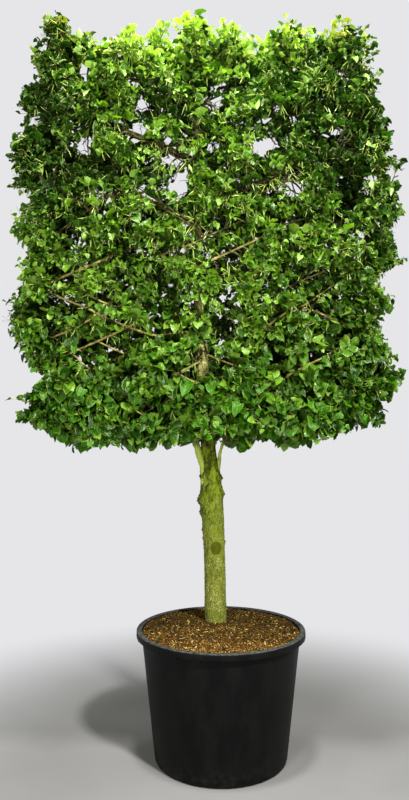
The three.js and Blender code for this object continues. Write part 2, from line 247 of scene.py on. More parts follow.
# Growth on the limbs, and then on limbs and shoots: how many, how many places are tried for each,
# how far under the crown's skin they end and how strongly they are drawn to it, how much they turn
# up, the steps of a line and its stray, and the radii at its foot and tip with their spread.
SHOOT = {
    "count": 820, "tried": 3.0, "inset": 0.08, "shell": 0.25, "rise": 0.6,
    "steps": 12, "stray": 0.006, "radii": (0.0058, 0.0026), "spread": (0.8, 1.3),
}
SPRAY = {
    "count": 4700, "tried": 1.2, "inset": 0.03, "shell": 0.90, "rise": 0.25,
    "steps": 9, "stray": 0.004, "radii": (0.0023, 0.0010), "spread": (0.85, 1.2),
}
# Leaves: how many to a spray, their length, its spread and its limits, the stalk's length and
# radii, and the share that takes a tint of its own.
LEAF = {
    "per_spray": 14, "length": 0.046, "spread": 0.26, "least": 0.024, "most": 0.066,
    "stalk": 0.036, "stalk_radii": (0.0022, 0.0015), "own_tint": 0.45,
}
# Which leaves stay: the share that veils the low windows, from what depth leaves are thinned and
# the share left there, how near a bare limb's line leaves are cleared, and the shares cleared
# there and in the hollows.
THINNING = {
    "veil": 0.42, "deep": 0.16, "deep_left": 0.55,
    "by_limb": 0.030, "limb_cleared": 0.96, "hollow_cleared": 0.985,
}
# Half of a blade's outline, one long from stalk to tip: how far out, and how far along.
BLADE = [(0.40, -0.06), (0.55, 0.34), (0.36, 0.80)]
# Tints of leaf: a blade's two greens, the colour and share of what shines through, and its gloss.
# Sunny and shaded are lit and shaded copies of a leaf, painted light and painted shade; lime is partly
# painted light.
TINTS = {
    "lime": ((136, 176, 42), (172, 202, 76), (160, 208, 46), 0.36, 0.80),
    "olive": ((98, 112, 24), (134, 140, 46), (146, 164, 30), 0.36, 0.50),
    "fresh": ((82, 124, 18), (106, 146, 32), (130, 184, 20), 0.28, 0.60),
    "mid": ((50, 90, 8), (70, 108, 16), (94, 150, 10), 0.22, 0.42),
    "green": ((40, 88, 6), (58, 110, 12), (74, 148, 8), 0.20, 0.20),
    "deep": ((20, 56, 2), (33, 74, 5), (58, 120, 4), 0.18, 0.36),
    "sunny": ((112, 152, 54), (146, 182, 90), (140, 190, 60), 0.26, 0.70),
    "pale": ((84, 112, 30), (106, 132, 46), (112, 160, 26), 0.26, 0.18),
    "shaded": ((10, 38, 1), (19, 52, 3), (38, 88, 3), 0.08, 0.15),
}
# The pale straps that bear the flower buds, as a tint of leaf. They hang in bunches, most of them
# about one level, and some have a forked stem with a bud at the end of each fork.
BRACT_TINT = ((118, 148, 46), (160, 180, 84), (146, 180, 54), 0.22, 0.60)
BRACTS = {
    "bunches": 2300, "per_bunch": 4, "length": 0.054, "width": 0.0044, "level": 3.30,
    "with_buds": 0.11, "forks": 3, "stem_radius": 0.0006, "stalk": 0.012, "bud": (0.0024, 0.0038),
}

# Barks: the colours low down and high up, of corks and of cracks, how fine the grain is beside the
# stem's, and between which levels the first colour passes into the second.
BARKS = {
    "bark": ((96, 105, 20), (94, 110, 0), (182, 176, 112), (18, 22, 0), 1.0, (1.25, 1.85)),
    "scar_moss": ((66, 73, 0), (66, 73, 0), (78, 82, 6), (38, 40, 2), 1.0, (1.25, 1.85)),
    # For boughs and limbs the pale colour low down is painted light and the dark one higher in the
    # crown painted shade.
    "bough_bark": ((152, 174, 62), (56, 54, 22), (186, 184, 118), (24, 26, 6), 1.0, (1.90, 2.25)),
    "limb_bark": ((162, 148, 80), (60, 54, 26), (186, 172, 116), (60, 50, 24), 2.0, (2.75, 3.45)),
}
# The stem's bark changes twice more inside the crown, as painted light and painted shade: a paler band
#  where the stem shows lit in the hollows, and darker above it deep in the crown. Between which
#  levels, how much its drift moves them, and the colour.
CROWN_BARK_LIGHT_AND_SHADE = [((1.92, 2.08), 0.0, (180, 176, 104)), ((2.40, 2.52), 0.1, (72, 68, 34))]

# The container: its wall, the collar's bend, depth and width, the foot's corner, how far its
# underside is raised, and the shares of the foot's radius over which it comes down to the ground.
POT = {
    "wall": 0.004, "roll": 0.007, "drop": 0.036, "collar": 0.027, "corner": 0.014,
    "raised": 0.006, "raised_to": (0.80, 0.83), "segments": 144,
}
BAND = {"height": 0.60, "half": 0.012, "out": 0.0012}  # a faint swell round the wall
WEBS = {"every": 15, "half": 0.0036, "deep": 0.014, "into_collar": 0.010}  # under the collar
LUGS = {"at": (0, 180), "half": 0.023, "deep": 0.022}  # broad ones, to lift it by
# The mix: the grid over it, its underside's level, how far its edge lies under the rim, the
# radius round the stem that stays level, how far its side stands in from the wall's outside, the
# share to which it is drawn in at the foot, how far under the rim its side stops, and the gap
# between its top and the wall.
MIX = {
    "rings": 60, "spokes": 180, "floor": 0.008, "under_rim": 0.014, "level_to": 0.095,
    "off_wall": 0.0056, "drawn_in": 0.955, "side_stops": 0.03, "gap": 0.001,
}
# Loose chips on the mix, and how far they keep off the wall and from the stem's middle.
CHIPS = {"count": 18000, "length": 0.0080, "spread": 0.32, "off_wall": 0.008, "off_stem": 0.070}
# Tints of chip: their share, and two colours.
CHIP_TINTS = {
    "ochre": (0.27, (126, 94, 20), (96, 68, 12)),
    "rust": (0.12, (122, 64, 16), (92, 46, 10)),
    "tan": (0.085, (208, 180, 104), (172, 140, 72)),
    "olive": (0.22, (78, 62, 14), (56, 45, 10)),
    "dark": (0.305, (22, 16, 6), (14, 11, 4)),
}

# Two small shapes that are repeated: an eight-sided lump, one in half width, for buds and chips,
# and a block that runs from 0 to 1 outwards and up, and from -1 to 1 across.
LUMP = np.array([[1, 0, 0], [-1, 0, 0], [0, 1, 0], [0, -1, 0], [0, 0, 1], [0, 0, -1]], dtype=float)
LUMP_FACES = np.array(
    [[0, 2, 4], [2, 1, 4], [1, 3, 4], [3, 0, 4], [2, 0, 5], [1, 2, 5], [3, 1, 5], [0, 3, 5]]
)
BLOCK = np.array([[x, y, z] for x in (0, 1) for y in (-1, 1) for z in (0, 1)], dtype=float)
BLOCK_FACES = np.array(
    [[0, 1, 3, 2], [4, 6, 7, 5], [0, 4, 5, 1], [2, 3, 7, 6], [0, 2, 6, 4], [1, 5, 7, 3]]
)

foliage_nodes = [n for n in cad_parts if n.startswith("foliage")]
bough_nodes = [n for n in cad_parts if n.startswith("bough")]


# ---------------------------------------------------------------- arrays
def unit(v):
    """Vectors along the last axis, scaled to length one."""
    return v / np.maximum(np.linalg.norm(v, axis=-1, keepdims=True), 1e-9)


def smoothstep(x, low, high):
    """0 below low, 1 above high, and 3t2 - 2t3 between."""
    t = np.clip((x - low) / (high - low), 0, 1)
    return t * t * (3 - 2 * t)


def ripple(points, size, seed, count=24):
    """Smooth unevenness of spread 1 about 0: the sum of sine waves near one size in wavelength,
    each in its own random direction and phase."""
    draw = np.random.default_rng(seed)
    waves = unit(draw.normal(size=(count, 3))) * 2 * np.pi / size
    waves = waves * draw.uniform(0.7, 1.5, (count, 1))
    phases = draw.uniform(0, 2 * np.pi, count)
    return np.sin(points @ waves.T + phases).sum(axis=-1) / np.sqrt(count / 2)


def smooth_lines(knots, count):
    """Catmull-Rom lines through knots (line, knot, xyz), each worked out at count even steps: on
    a span the four nearest knots are weighed by the cubic blend of the step's share t."""
    padded = np.concatenate(
        [2 * knots[:, :1] - knots[:, 1:2], knots, 2 * knots[:, -1:] - knots[:, -2:-1]], axis=1
    )
    s = np.linspace(0, knots.shape[1] - 1 - 1e-6, count)
    span = s.astype(int)
    t = (s - span)[None, :, None]
    a, b, c, d = (padded[:, span + i] for i in range(4))
    return 0.5 * (
        2 * b + (c - a) * t + (2 * a - 5 * b + 4 * c - d) * t**2 + (3 * b - a - 3 * c + d) * t**3
    )


def bezier(p0, p1, p2, p3, count):
    """Cubic Bezier lines from four tables of control points, at count even steps."""
    t = np.linspace(0, 1, count)[None, :, None]
    p0, p1, p2, p3 = (p[:, None, :] for p in (p0, p1, p2, p3))
    return (1 - t) ** 3 * p0 + 3 * (1 - t) ** 2 * t * p1 + 3 * (1 - t) * t**2 * p2 + t**3 * p3


def around(radius, angle, height):
    """Points at a radius, an angle and a height, given as tables or numbers that broadcast."""
    x, y, z = np.broadcast_arrays(radius * np.cos(angle), radius * np.sin(angle), height)
    return np.stack([x, y, z], axis=-1)


def full_turn(steps):
    """Even angles once round."""
    return 2 * np.pi * np.arange(steps) / steps


def by_chance(rng, count, share):
    """True for each of count, with one chance for all or one for each."""
    return rng.uniform(0, 1, count) < share


# ---------------------------------------------------------------- meshes
def piece(name, points, faces, finish, stands_for=(), smooth=True, marks=None):
    """A mesh from a table of points and one table of corners for each kind of face. Marks are
    named values by point that its finish reads."""
    faces = [f for f in faces if len(f)]
    corners = np.concatenate([f.ravel() for f in faces]).astype(np.int32)
    sizes = np.concatenate([np.full(len(f), f.shape[1]) for f in faces])
    mesh = bpy.data.meshes.new(name)
    mesh.vertices.add(len(points))
    mesh.vertices.foreach_set("co", np.asarray(points, dtype=np.float32).ravel())
    mesh.loops.add(len(corners))
    mesh.loops.foreach_set("vertex_index", corners)
    mesh.polygons.add(len(sizes))
    mesh.polygons.foreach_set("loop_start", (np.cumsum(sizes) - sizes).astype(np.int32))
    mesh.polygons.foreach_set("use_smooth", np.full(len(sizes), smooth))
    mesh.update(calc_edges=True)
    mesh.validate()
    for mark, values in (marks or {}).items():
        layer = mesh.attributes.new(mark, "FLOAT", "POINT")
        layer.data.foreach_set("value", np.ascontiguousarray(values, dtype=np.float32).ravel())
    mesh.materials.append(finish)
    obj = bpy.data.objects.new(name, mesh)
    bpy.context.scene.collection.objects.link(obj)
    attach(obj, "root")
    if stands_for:
        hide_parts(*stands_for)


def sweep(lines, radii, sides):
    """Round limbs, all at once: ring j of limb i is centred on lines[i, j], and its corner k
    stands radii[i, j] from it at k/sides of a turn, in the plane square to the line. Both ends
    are closed."""
    count, rings = lines.shape[:2]
    along = unit(np.gradient(lines, axis=1))
    chord = unit(lines[:, -1] - lines[:, 0])
    helper = np.where(np.abs(chord[:, 2:3]) < 0.8, UP, FRONT)[:, None, :]
    side = unit(np.cross(along, helper))
    over = np.cross(side, along)
    turn = full_turn(sides)
    ring = side[:, :, None] * np.cos(turn)[:, None] + over[:, :, None] * np.sin(turn)[:, None]
    radii = np.broadcast_to(radii, (count, rings))
    points = lines[:, :, None] + radii[:, :, None, None] * ring
    at = np.arange(count * rings * sides).reshape(count, rings, sides)
    turned = np.roll(at, -1, axis=2)
    walls = np.stack([at[:, :-1], at[:, 1:], turned[:, 1:], turned[:, :-1]], axis=-1)
    ends = np.concatenate([at[:, 0], at[:, -1, ::-1]])
    return points.reshape(-1, 3), [walls.reshape(-1, 4), ends]


def rings_of(rows, columns):
    """Corner numbers of rows that close on themselves, the same numbers one column on, and the
    faces between each row and the next."""
    at = np.arange(rows * columns).reshape(rows, columns)
    turned = np.roll(at, -1, axis=1)
    walls = np.stack([at[:-1], turned[:-1], turned[1:], at[1:]], axis=-1)
    return at, turned, walls.reshape(-1, 4)


def lathe_faces(rows, columns):
    """Faces of a turned body: its rings, and a fan to the pole before and the pole after them,
    whose numbers follow those of the rings."""
    at, turned, walls = rings_of(rows, columns)
    first = np.full(columns, at.size)
    start = np.stack([first, turned[0], at[0]], axis=-1)
    stop = np.stack([first + 1, at[-1], turned[-1]], axis=-1)
    return [walls, np.concatenate([start, stop])]


def revolve(profile, segments):
    """A lathe: profile's (radius, height) pairs turned about the upright axis. Its first and last
    points lie on the axis, and each becomes one pole."""
    inner = profile[1:-1]
    points = around(inner[:, :1], full_turn(segments), inner[:, 1:])
    poles = np.array([[0, 0, profile[0, 1]], [0, 0, profile[-1, 1]]])
    return np.concatenate([points.reshape(-1, 3), poles]), lathe_faces(len(inner), segments)


def many(shape, faces):
    """Copies of one small shape: points (copy, corner, xyz) already placed, and its faces, given
    by corner, repeated with each copy's own numbers."""
    step = shape.shape[1] * np.arange(len(shape))[:, None, None]
    return shape.reshape(-1, 3), [(f[None] + step).reshape(-1, f.shape[1]) for f in faces]


# ---------------------------------------------------------------- finishes
class Value:
    """A number that varies over a surface, which can be written in sums."""

    def __init__(self, finish, socket):
        self.finish = finish
        self.socket = socket

    def __add__(self, other):
        return self.finish.math("ADD", self, other)

    def __sub__(self, other):
        return self.finish.math("SUBTRACT", self, other)

    def __rsub__(self, other):
        return self.finish.math("SUBTRACT", other, self)

    def __mul__(self, other):
        return self.finish.math("MULTIPLY", self, other)

    __radd__ = __add__
    __rmul__ = __mul__


class Finish:
    """A material being put together."""

    def __init__(self, name):
        self.material = bpy.data.materials.new(name)
        self.material.use_nodes = True
        self.tree = self.material.node_tree
        self.tree.nodes.clear()

    def add(self, kind, settings=None, sockets=None, out=0):
        """A node of a kind, its settings first, then the values or links of its sockets."""
        node = self.tree.nodes.new("ShaderNode" + kind)
        for key, value in (settings or {}).items():
            setattr(node, key, value)
        for key, value in (sockets or {}).items():
            if isinstance(value, Value):
                self.tree.links.new(value.socket, node.inputs[key])
            else:
                node.inputs[key].default_value = value
        return Value(self, node.outputs[out])

    def math(self, operation, first, second=0.0):
        """One sum on values or numbers."""
        return self.add("Math", {"operation": operation}, {0: first, 1: second})

    def place(self, stretch=(1.0, 1.0, 1.0)):
        """Where a point lies on the object, its axes scaled."""
        coordinates = self.add("TexCoord", out=3)
        return self.add("Mapping", None, {"Vector": coordinates, "Scale": stretch})

    def height(self):
        """How high a point lies."""
        return self.add("SeparateXYZ", None, {"Vector": self.place()}, out=2)

    def mark(self, name):
        """A value that the mesh carries by point."""
        return self.add("Attribute", {"attribute_name": name}, out=2)

    def noise(self, per_metre, detail=3.0, stretch=(1.0, 1.0, 1.0), roughness=0.55):
        """Soft unevenness about one half, of so many lumps to the metre."""
        sockets = {"Scale": per_metre, "Detail": detail, "Roughness": roughness}
        return self.add("TexNoise", None, {"Vector": self.place(stretch), **sockets})

    def cells(self, per_metre, stretch=(1.0, 1.0, 1.0)):
        """How far a point lies from the middle of its cell."""
        return self.add("TexVoronoi", None, {"Vector": self.place(stretch), "Scale": per_metre})

    def step(self, value, low, high):
        """0 below low and 1 above high."""
        sockets = {"Value": value, "From Min": low, "From Max": high}
        return self.add("MapRange", {"interpolation_type": "SMOOTHSTEP"}, sockets)

    def mix(self, share, first, second):
        """One colour passing into another by a share."""
        return self.add("Mix", {"data_type": "RGBA"}, {0: share, 6: first, 7: second}, out=2)

    def bump(self, height, depth, strength=1.0):
        """Relief from a height of 0 to 1, so many metres deep."""
        return self.add("Bump", None, {"Height": height, "Distance": depth, "Strength": strength})

    def shader_mix(self, share, first, second):
        """One shader passing into another by a share."""
        return self.add("MixShader", None, {0: share, 1: first, 2: second})

    def surface(self, **sockets):
        """The gloss-and-colour shader; names are its sockets', with _ for a space."""
        return self.add("BsdfPrincipled", None, {k.replace("_", " "): v for k, v in sockets.items()})

    def finish(self, shader):
        """Ends the tree on a shader, and gives the material."""
        output = self.tree.nodes.new("ShaderNodeOutputMaterial")
        self.tree.links.new(shader.socket, output.inputs["Surface"])
        return self.material


def rgb(red, green, blue):
    """A colour on the 0 to 255 scale of a screen, as the light it stands for."""
    c = np.array([red, green, blue]) / 255
    light = np.where(c <= 0.04045, c / 12.92, ((c + 0.055) / 1.055) ** 2.4)
    return (*light.tolist(), 1.0)


# The pale margin drawn in this colour is a painted highlight on each leaf's edge; the pale veins are
# the leaf's own.
PALE_EDGE = rgb(156, 178, 84)  # leaf margins and veins


def leaf_finish(name, dark, light, through, glow, sheen, veined=True):
    """A leaf's blade: mottled between two greens and, where it is veined, with a pale midrib and side
    veins and a pale margin that is a painted highlight; a little glossy, and lit through by a share."""
    f = Finish(name)
    colour = f.mix(f.step(f.noise(70, 3.0), 0.34, 0.66), rgb(*dark), rgb(*light))
    puckers = f.noise(260, 1.0)
    relief = puckers + 4.0 * f.noise(85, 1.0)
    if veined:
        margin = f.mark("margin")
        ridge = f.math("ABSOLUTE", f.math("FRACT", f.mark("vein") * 6.0) - 0.5)
        veins = 1 - f.step(ridge, 0.0, 0.10)
        rib = 1 - f.step(margin, 0.0, 0.09)
        # painted highlight: a pale line along the blade's margin
        edge = f.step(margin + puckers * 0.2, 0.94, 1.08)
        colour = f.mix(veins * 0.12 + rib * 0.26 + edge * 0.34, colour, PALE_EDGE)
        relief = relief - 0.8 * veins - rib
    blade = f.surface(
        Base_Color=colour,
        Specular_IOR_Level=sheen,
        Specular_Tint=(0.95, 1.0, 0.72, 1.0),
        Roughness=f.step(puckers, 0.2, 0.8) * 0.14 + 0.25,
        Normal=f.bump(relief, 0.0012, 0.5),
    )
    lit = f.add("BsdfTranslucent", None, {"Color": rgb(*through)})
    return f.finish(f.shader_mix(glow, blade, lit))


def bark_finish(name, low, high, pale, dark, grain, change, inner=()):
    """Young linden bark: one colour low down that passes into another between two levels, and into
    more inside the crown where they are given; on the boughs and limbs, and in the bands inside the
    crown, these changes are painted light and painted shade. It is strewn with pale corky specks,
    blotched and faintly cracked upright, and dark where its shade mark paints shade."""
    f = Finish(name)
    pale, dark = rgb(*pale), rgb(*dark)
    height = f.height()
    drift = f.noise(9.0 * grain, 4.0, (1, 1, 0.6))
    # on boughs and limbs: painted light low down passing into painted shade higher in the crown
    rise = f.step(height + drift * 0.5, *change)
    colour = f.mix(rise, rgb(*low), rgb(*high))
    # painted light and shade: the paler and darker bands of bark inside the crown
    for levels, stray, tint in inner:
        colour = f.mix(f.step(height + drift * stray, *levels), colour, rgb(*tint))
    specks = f.step(f.noise(180 * grain, 2.0, (1, 1, 0.8)), 0.51, 0.62)
    corks = 1 - f.step(f.cells(140 * grain, (1, 1, 0.8)), 0.18, 0.36)
    patches = f.step(f.noise(16 * grain, 4.0), 0.36, 0.60)
    cracks = 1 - f.step(f.noise(64 * grain, 3.0, (1, 1, 0.3), 0.7), 0.36, 0.46)
    colour = f.mix(specks * (0.25 + 0.5 * patches) * (1 - 0.75 * rise), colour, pale)
    colour = f.mix(corks * patches * (0.55 - 0.42 * rise), colour, pale)
    blotches = f.step(f.noise(24 * grain, 5.0, (1, 1, 0.7), 0.70), 0.44, 0.56)
    colour = f.mix(cracks * 0.42 + blotches * (0.04 + 0.66 * rise * rise), colour, dark)
    # painted shade: darker where the shade mark says
    colour = f.mix(f.mark("shade") * (0.75 + 0.2 * cracks), colour, dark)
    skin = f.surface(
        Base_Color=colour,
        Specular_IOR_Level=0.12,
        Roughness=0.70 + 0.16 * patches,
        Normal=f.bump(specks * 0.5 + corks * 0.6 - cracks * 0.8, 0.0016, 0.8),
    )
    return f.finish(skin)


def wood_finish(name, base, shade):
    """Thin twigs and stalks: one bark colour with a darker drift."""
    f = Finish(name)
    drift = f.step(f.noise(34, 3.0), 0.35, 0.65)
    skin = f.surface(
        Base_Color=f.mix(drift, rgb(*base), rgb(*shade)),
        Roughness=0.62 + 0.1 * drift,
        Normal=f.bump(f.noise(420, 2.0), 0.0006, 0.6),
    )
    return f.finish(skin)


def plastic_finish():
    """Black moulded plastic, its sheen broken by fine grain, scuffs and a film of dust low down;
    the rim's flat top is lighter grey, a painted highlight where light falls on it."""
    f = Finish("container_plastic")
    grain = f.noise(900, 2.0)
    clouds = f.step(f.noise(11, 5.0, (1, 1, 0.45), 0.65), 0.38, 0.66)
    scuffs = f.step(f.noise(45, 5.0, (1, 1, 5), 0.7), 0.62, 0.74)
    height = f.height()
    dust = (1 - f.step(height, 0.0, 0.16)) * f.step(f.noise(30, 4.0), 0.4, 0.7)
    colour = f.mix(clouds, rgb(8, 8, 8), rgb(15, 15, 14))
    colour = f.mix(scuffs * 0.12 + dust * 0.10, colour, rgb(80, 77, 70))
    # painted highlight: the rim's flat top made lighter grey where light falls on it
    rim_painted_highlight = f.step(height, POT_TOP - 0.006, POT_TOP - 0.001) * f.step(f.noise(60, 4.0), 0.2, 0.75)
    skin = f.surface(
        Base_Color=f.mix(rim_painted_highlight * 0.8, colour, rgb(90, 90, 86)),
        Specular_IOR_Level=0.09,
        Roughness=0.50 + 0.08 * clouds + 0.14 * scuffs,
        Normal=f.bump(grain + clouds * 0.5, 0.0006, 0.35),
    )
    return f.finish(skin)


def mix_finish(name, first, second, dark):
    """Granular planting mix, or its chips of one tint: two colours that drift, and dark specks in
    small hollows, which are painted shade.
    """
    f = Finish(name)
    tone = f.step(f.noise(110, 3.0), 0.35, 0.65)
    # painted shade: dark specks for small hollows between grains
    painted_pit_shade = 1 - f.step(f.noise(300, 4.0), 0.35, 0.5)
    skin = f.surface(
        Base_Color=f.mix(painted_pit_shade * 0.55, f.mix(tone, rgb(*first), rgb(*second)), rgb(*dark)),
        Specular_IOR_Level=0.15,
        Roughness=0.85 + 0.1 * tone,
        Normal=f.bump(f.noise(420, 4.0), 0.002, 0.8),
    )
    return f.finish(skin)


def floor_finish():
    """A pale floor that passes into the backdrop's own brightness further out."""
    f = Finish("floor")
    drift = f.step(f.noise(0.9, 4.0), 0.3, 0.7)
    paint = f.surface(
        Base_Color=f.mix(drift, rgb(127, 126, 124), rgb(135, 134, 132)),
        Roughness=0.7 + 0.1 * drift,
    )
    away = f.add("VectorMath", {"operation": "LENGTH"}, {0: f.place()}, out=1)
    glow = f.add("Emission", None, {"Color": BACKDROP, "Strength": 1.0})
    return f.finish(f.shader_mix(f.step(away, *FLOOR["fade"]), paint, glow))


# ---------------------------------------------------------------- what the frame says
def corners_of(name):
    """A node's corners, each once."""
    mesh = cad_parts[name].data
    flat = np.empty(3 * len(mesh.vertices))
    mesh.vertices.foreach_get("co", flat)
    return np.unique(flat.reshape(-1, 3).round(5), axis=0)


def box_of(name):
    """A node's box as a table of two corners."""
    return np.array([list(corner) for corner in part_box(name)])


stem_corners = corners_of("trunk")
stem_levels, level_of = np.unique(stem_corners[:, 2].round(3), return_inverse=True)
stem_x = np.bincount(level_of, stem_corners[:, 0]) / np.bincount(level_of)
STEM_Y = stem_corners[:, 1].mean()
from_axis = np.hypot(stem_corners[:, 0] - stem_x[level_of], stem_corners[:, 1] - STEM_Y)
stem_radius = np.array([np.median(from_axis[level_of == i]) for i in range(len(stem_levels))])
STEM_FOOT, STEM_TOP = stem_levels[[0, -1]]
STEM_X = stem_x[0]  # at the foot


def stem_at(z):
    """Centre and radius of the stem at a height."""
    x = np.interp(z, stem_levels, stem_x)
    centre = np.stack([x, np.full_like(x, STEM_Y), z], axis=-1)
    return centre, np.interp(z, stem_levels, stem_radius)


mass_boxes = np.array([box_of(n) for n in foliage_nodes])
CROWN = np.array([mass_boxes[:, 0].min(axis=0), mass_boxes[:, 1].max(axis=0)])
crown_top = np.sort(mass_boxes[:, 1, 2])[-4]  # the clipped top, under the tufts

RIM, _, POT_TOP = box_of("pot")[1]  # the collar's radius, and its level
pot_corners = corners_of("pot")
POT_FOOT = np.hypot(*pot_corners[pot_corners[:, 2] < 0.03, :2].T).max()
LIP = RIM - POT["collar"]  # outside of the wall where it meets the collar
WALL_SLOPE = (LIP - POT_FOOT) / (POT_TOP - POT["roll"])
MIX_EDGE = LIP - POT["wall"]


def wall_at(z):
    """The outer radius of the container's wall at a height."""
    return POT_FOOT + WALL_SLOPE * z


# ---------------------------------------------------------------- view, floor and light
def hang(name, place, target, size, watts):
    """A square lamp at a place, aimed at a target."""
    light = bpy.data.lights.new(name, "AREA")
    light.shape = "SQUARE"
    light.size = size
    light.energy = watts
    lamp = bpy.data.objects.new(name, light)
    lamp.location = place
    lamp.rotation_euler = (Vector(target) - lamp.location).to_track_quat("-Z", "Y").to_euler()
    bpy.context.scene.collection.objects.link(lamp)


def make_world():
    """Light from all round, and a backdrop that is paler to the eye than the light it gives, so
    that the crown keeps its shade."""
    world = bpy.data.worlds.new("studio")
    world.use_nodes = True
    tree = world.node_tree
    glow = tree.nodes["Background"]
    glow.inputs["Color"].default_value = AMBIENT["colour"]
    glow.inputs["Strength"].default_value = AMBIENT["strength"]
    backdrop = tree.nodes.new("ShaderNodeBackground")
    backdrop.inputs["Color"].default_value = BACKDROP
    seen = tree.nodes.new("ShaderNodeLightPath")
    both = tree.nodes.new("ShaderNodeMixShader")
    tree.links.new(seen.outputs["Is Camera Ray"], both.inputs[0])
    tree.links.new(glow.outputs[0], both.inputs[1])
    tree.links.new(backdrop.outputs[0], both.inputs[2])
    tree.links.new(both.outputs[0], tree.nodes["World Output"].inputs["Surface"])
    return world


def make_floor():
    """A round floor, wide enough to pass out of sight."""
    rim = around(FLOOR["radius"], full_turn(FLOOR["corners"]), 0.0)
    mesh = bpy.data.meshes.new("floor")
    mesh.from_pydata(rim.tolist(), [], [list(range(len(rim)))])
    mesh.materials.append(floor_finish())
    floor = bpy.data.objects.new("floor", mesh)
    bpy.context.scene.collection.objects.link(floor)


def stage():
    """The viewer's eye, the lamps, the world and the floor."""
    scene = bpy.context.scene
    scene.view_settings.view_transform = "Standard"
    camera = bpy.data.objects.new("camera", bpy.data.cameras.new("camera"))
    camera.location = EYE
    camera.rotation_euler = (np.radians(EYE_TILT), 0, 0)
    camera.data.lens = EYE_LENS
    scene.collection.objects.link(camera)
    scene.camera = camera
    scene.world = make_world()
    for name, (place, target, size, watts) in LAMPS.items():
        hang(name, place, target, size, watts)
    make_floor()


# ---------------------------------------------------------------- container and planting mix
def arc(cx, cz, radius, start, stop, count):
    """Points on a circle in the profile's plane, angles in degrees."""
    a = np.radians(np.linspace(start, stop, count))
    return np.stack([cx + radius * np.cos(a), cz + radius * np.sin(a)], axis=-1)


def pot_profile():
    """Half of the container's section: a raised floor, a rounded foot, a straight wall with a faint
    swell, a hollow turned-down collar with two rounded edges, and the inside wall and floor."""
    wall, roll, turn, raised = POT["wall"], POT["roll"], POT["corner"], POT["raised"]
    under, bend = POT_TOP - POT["drop"], POT_TOP - roll  # the collar's lower edge, and its bends
    body = np.linspace(turn * 1.4, bend, 30)
    swell = BAND["out"] * np.exp(-(((body - BAND["height"]) / BAND["half"]) ** 2))
    outside = np.stack([wall_at(body) + swell, body], axis=-1)
    inside = outside[::-1] - [wall, 0]
    parts = [
        [[0, raised], [POT_FOOT * POT["raised_to"][0], raised], [POT_FOOT * POT["raised_to"][1], 0.0]],
        arc(POT_FOOT - turn, turn, turn, -90, 0, 8),
        outside,
        [[LIP + 0.002, POT_TOP - wall - 0.004]],
        arc(RIM - roll, bend, roll - wall, 90, 0, 5),
        [[RIM - wall, under + 0.003]],
        arc(RIM - wall / 2, under + 0.0025, 0.0025, 180, 360, 5),
        arc(RIM - roll, bend, roll, 0, 90, 8),
        arc(LIP - wall + roll, bend, roll, 90, 180, 8),
        inside[1:],
        [[POT_FOOT - turn, wall + 0.002], [0, wall + 0.002]],
    ]
    return np.concatenate(parts)


def make_pot():
    """The container: a lathe of its section, then stiffening webs and two broad lifting lugs, as
    blocks from the wall to the collar that reach up inside it and hang a little below its edge."""
    plastic = plastic_finish()
    points, faces = revolve(pot_profile(), POT["segments"])
    piece("pot_shell", points, faces, plastic, ["pot"])

    stand = [(LUGS, angle) for angle in LUGS["at"]]
    stand += [(WEBS, a) for a in range(0, 360, WEBS["every"]) if a not in LUGS["at"]]
    angle = np.radians([a for _, a in stand])[:, None]
    half, deep = (np.array([kind[key] for kind, _ in stand])[:, None] for key in ("half", "deep"))
    out, across, up = BLOCK.T
    under = POT_TOP - POT["drop"]
    inner = wall_at(under) - POT["wall"] / 2
    radial = inner + (RIM - POT["wall"] / 2 - inner) * out
    tangent = half * across
    level = under + WEBS["into_collar"] * up - deep * (1 - up) / 2
    webs = around(radial, angle, level) + around(tangent, angle + np.pi / 2, 0.0)
    points, faces = many(webs, [BLOCK_FACES])
    piece("pot_lugs", points, faces, plastic, smooth=False)


def soil_height(x, y):
    """Level around the stem, easing down to just under the rim at the wall, with soft hummocks."""
    away = np.hypot(x - STEM_X, y - STEM_Y)
    edge = POT_TOP - MIX["under_rim"]
    down = smoothstep(away, MIX["level_to"], MIX_EDGE)
    spot = np.stack([x, y, 0 * x], axis=-1)
    return STEM_FOOT + (edge - STEM_FOOT) * down + 0.0028 * ripple(spot, 0.16, 5) * down


def make_soil():
    """A polar grid: up the mix's side, drawn in at the container's foot, and over its surface,
    which is rough at two sizes."""
    floor, turn = MIX["floor"], full_turn(MIX["spokes"])
    share = np.linspace(1, 0.0, MIX["rings"])[:-1, None] ** 0.75
    top = around((MIX_EDGE - MIX["gap"]) * share, turn, 0.0)
    top[..., 2] = soil_height(top[..., 0], top[..., 1])
    top[..., 2] += 0.0016 * ripple(top, 0.018, 6) + 0.0010 * ripple(top, 0.008, 7)
    side = np.linspace(floor, POT_TOP - MIX["side_stops"], 4)[:, None]
    wall = around(wall_at(side) - MIX["off_wall"], turn, side)
    wall[:2, :, :2] *= MIX["drawn_in"]
    grid = np.concatenate([wall, top])
    poles = [[0, 0, floor], [0, 0, soil_height(np.zeros(1), np.zeros(1))[0]]]
    points = np.concatenate([grid.reshape(-1, 3), poles])
    ground = mix_finish("planting_mix", (68, 50, 14), (44, 32, 10), (16, 12, 5))
    faces = lathe_faces(*grid.shape[:2])
    piece("soil_surface", points, faces, ground, ["soil"])


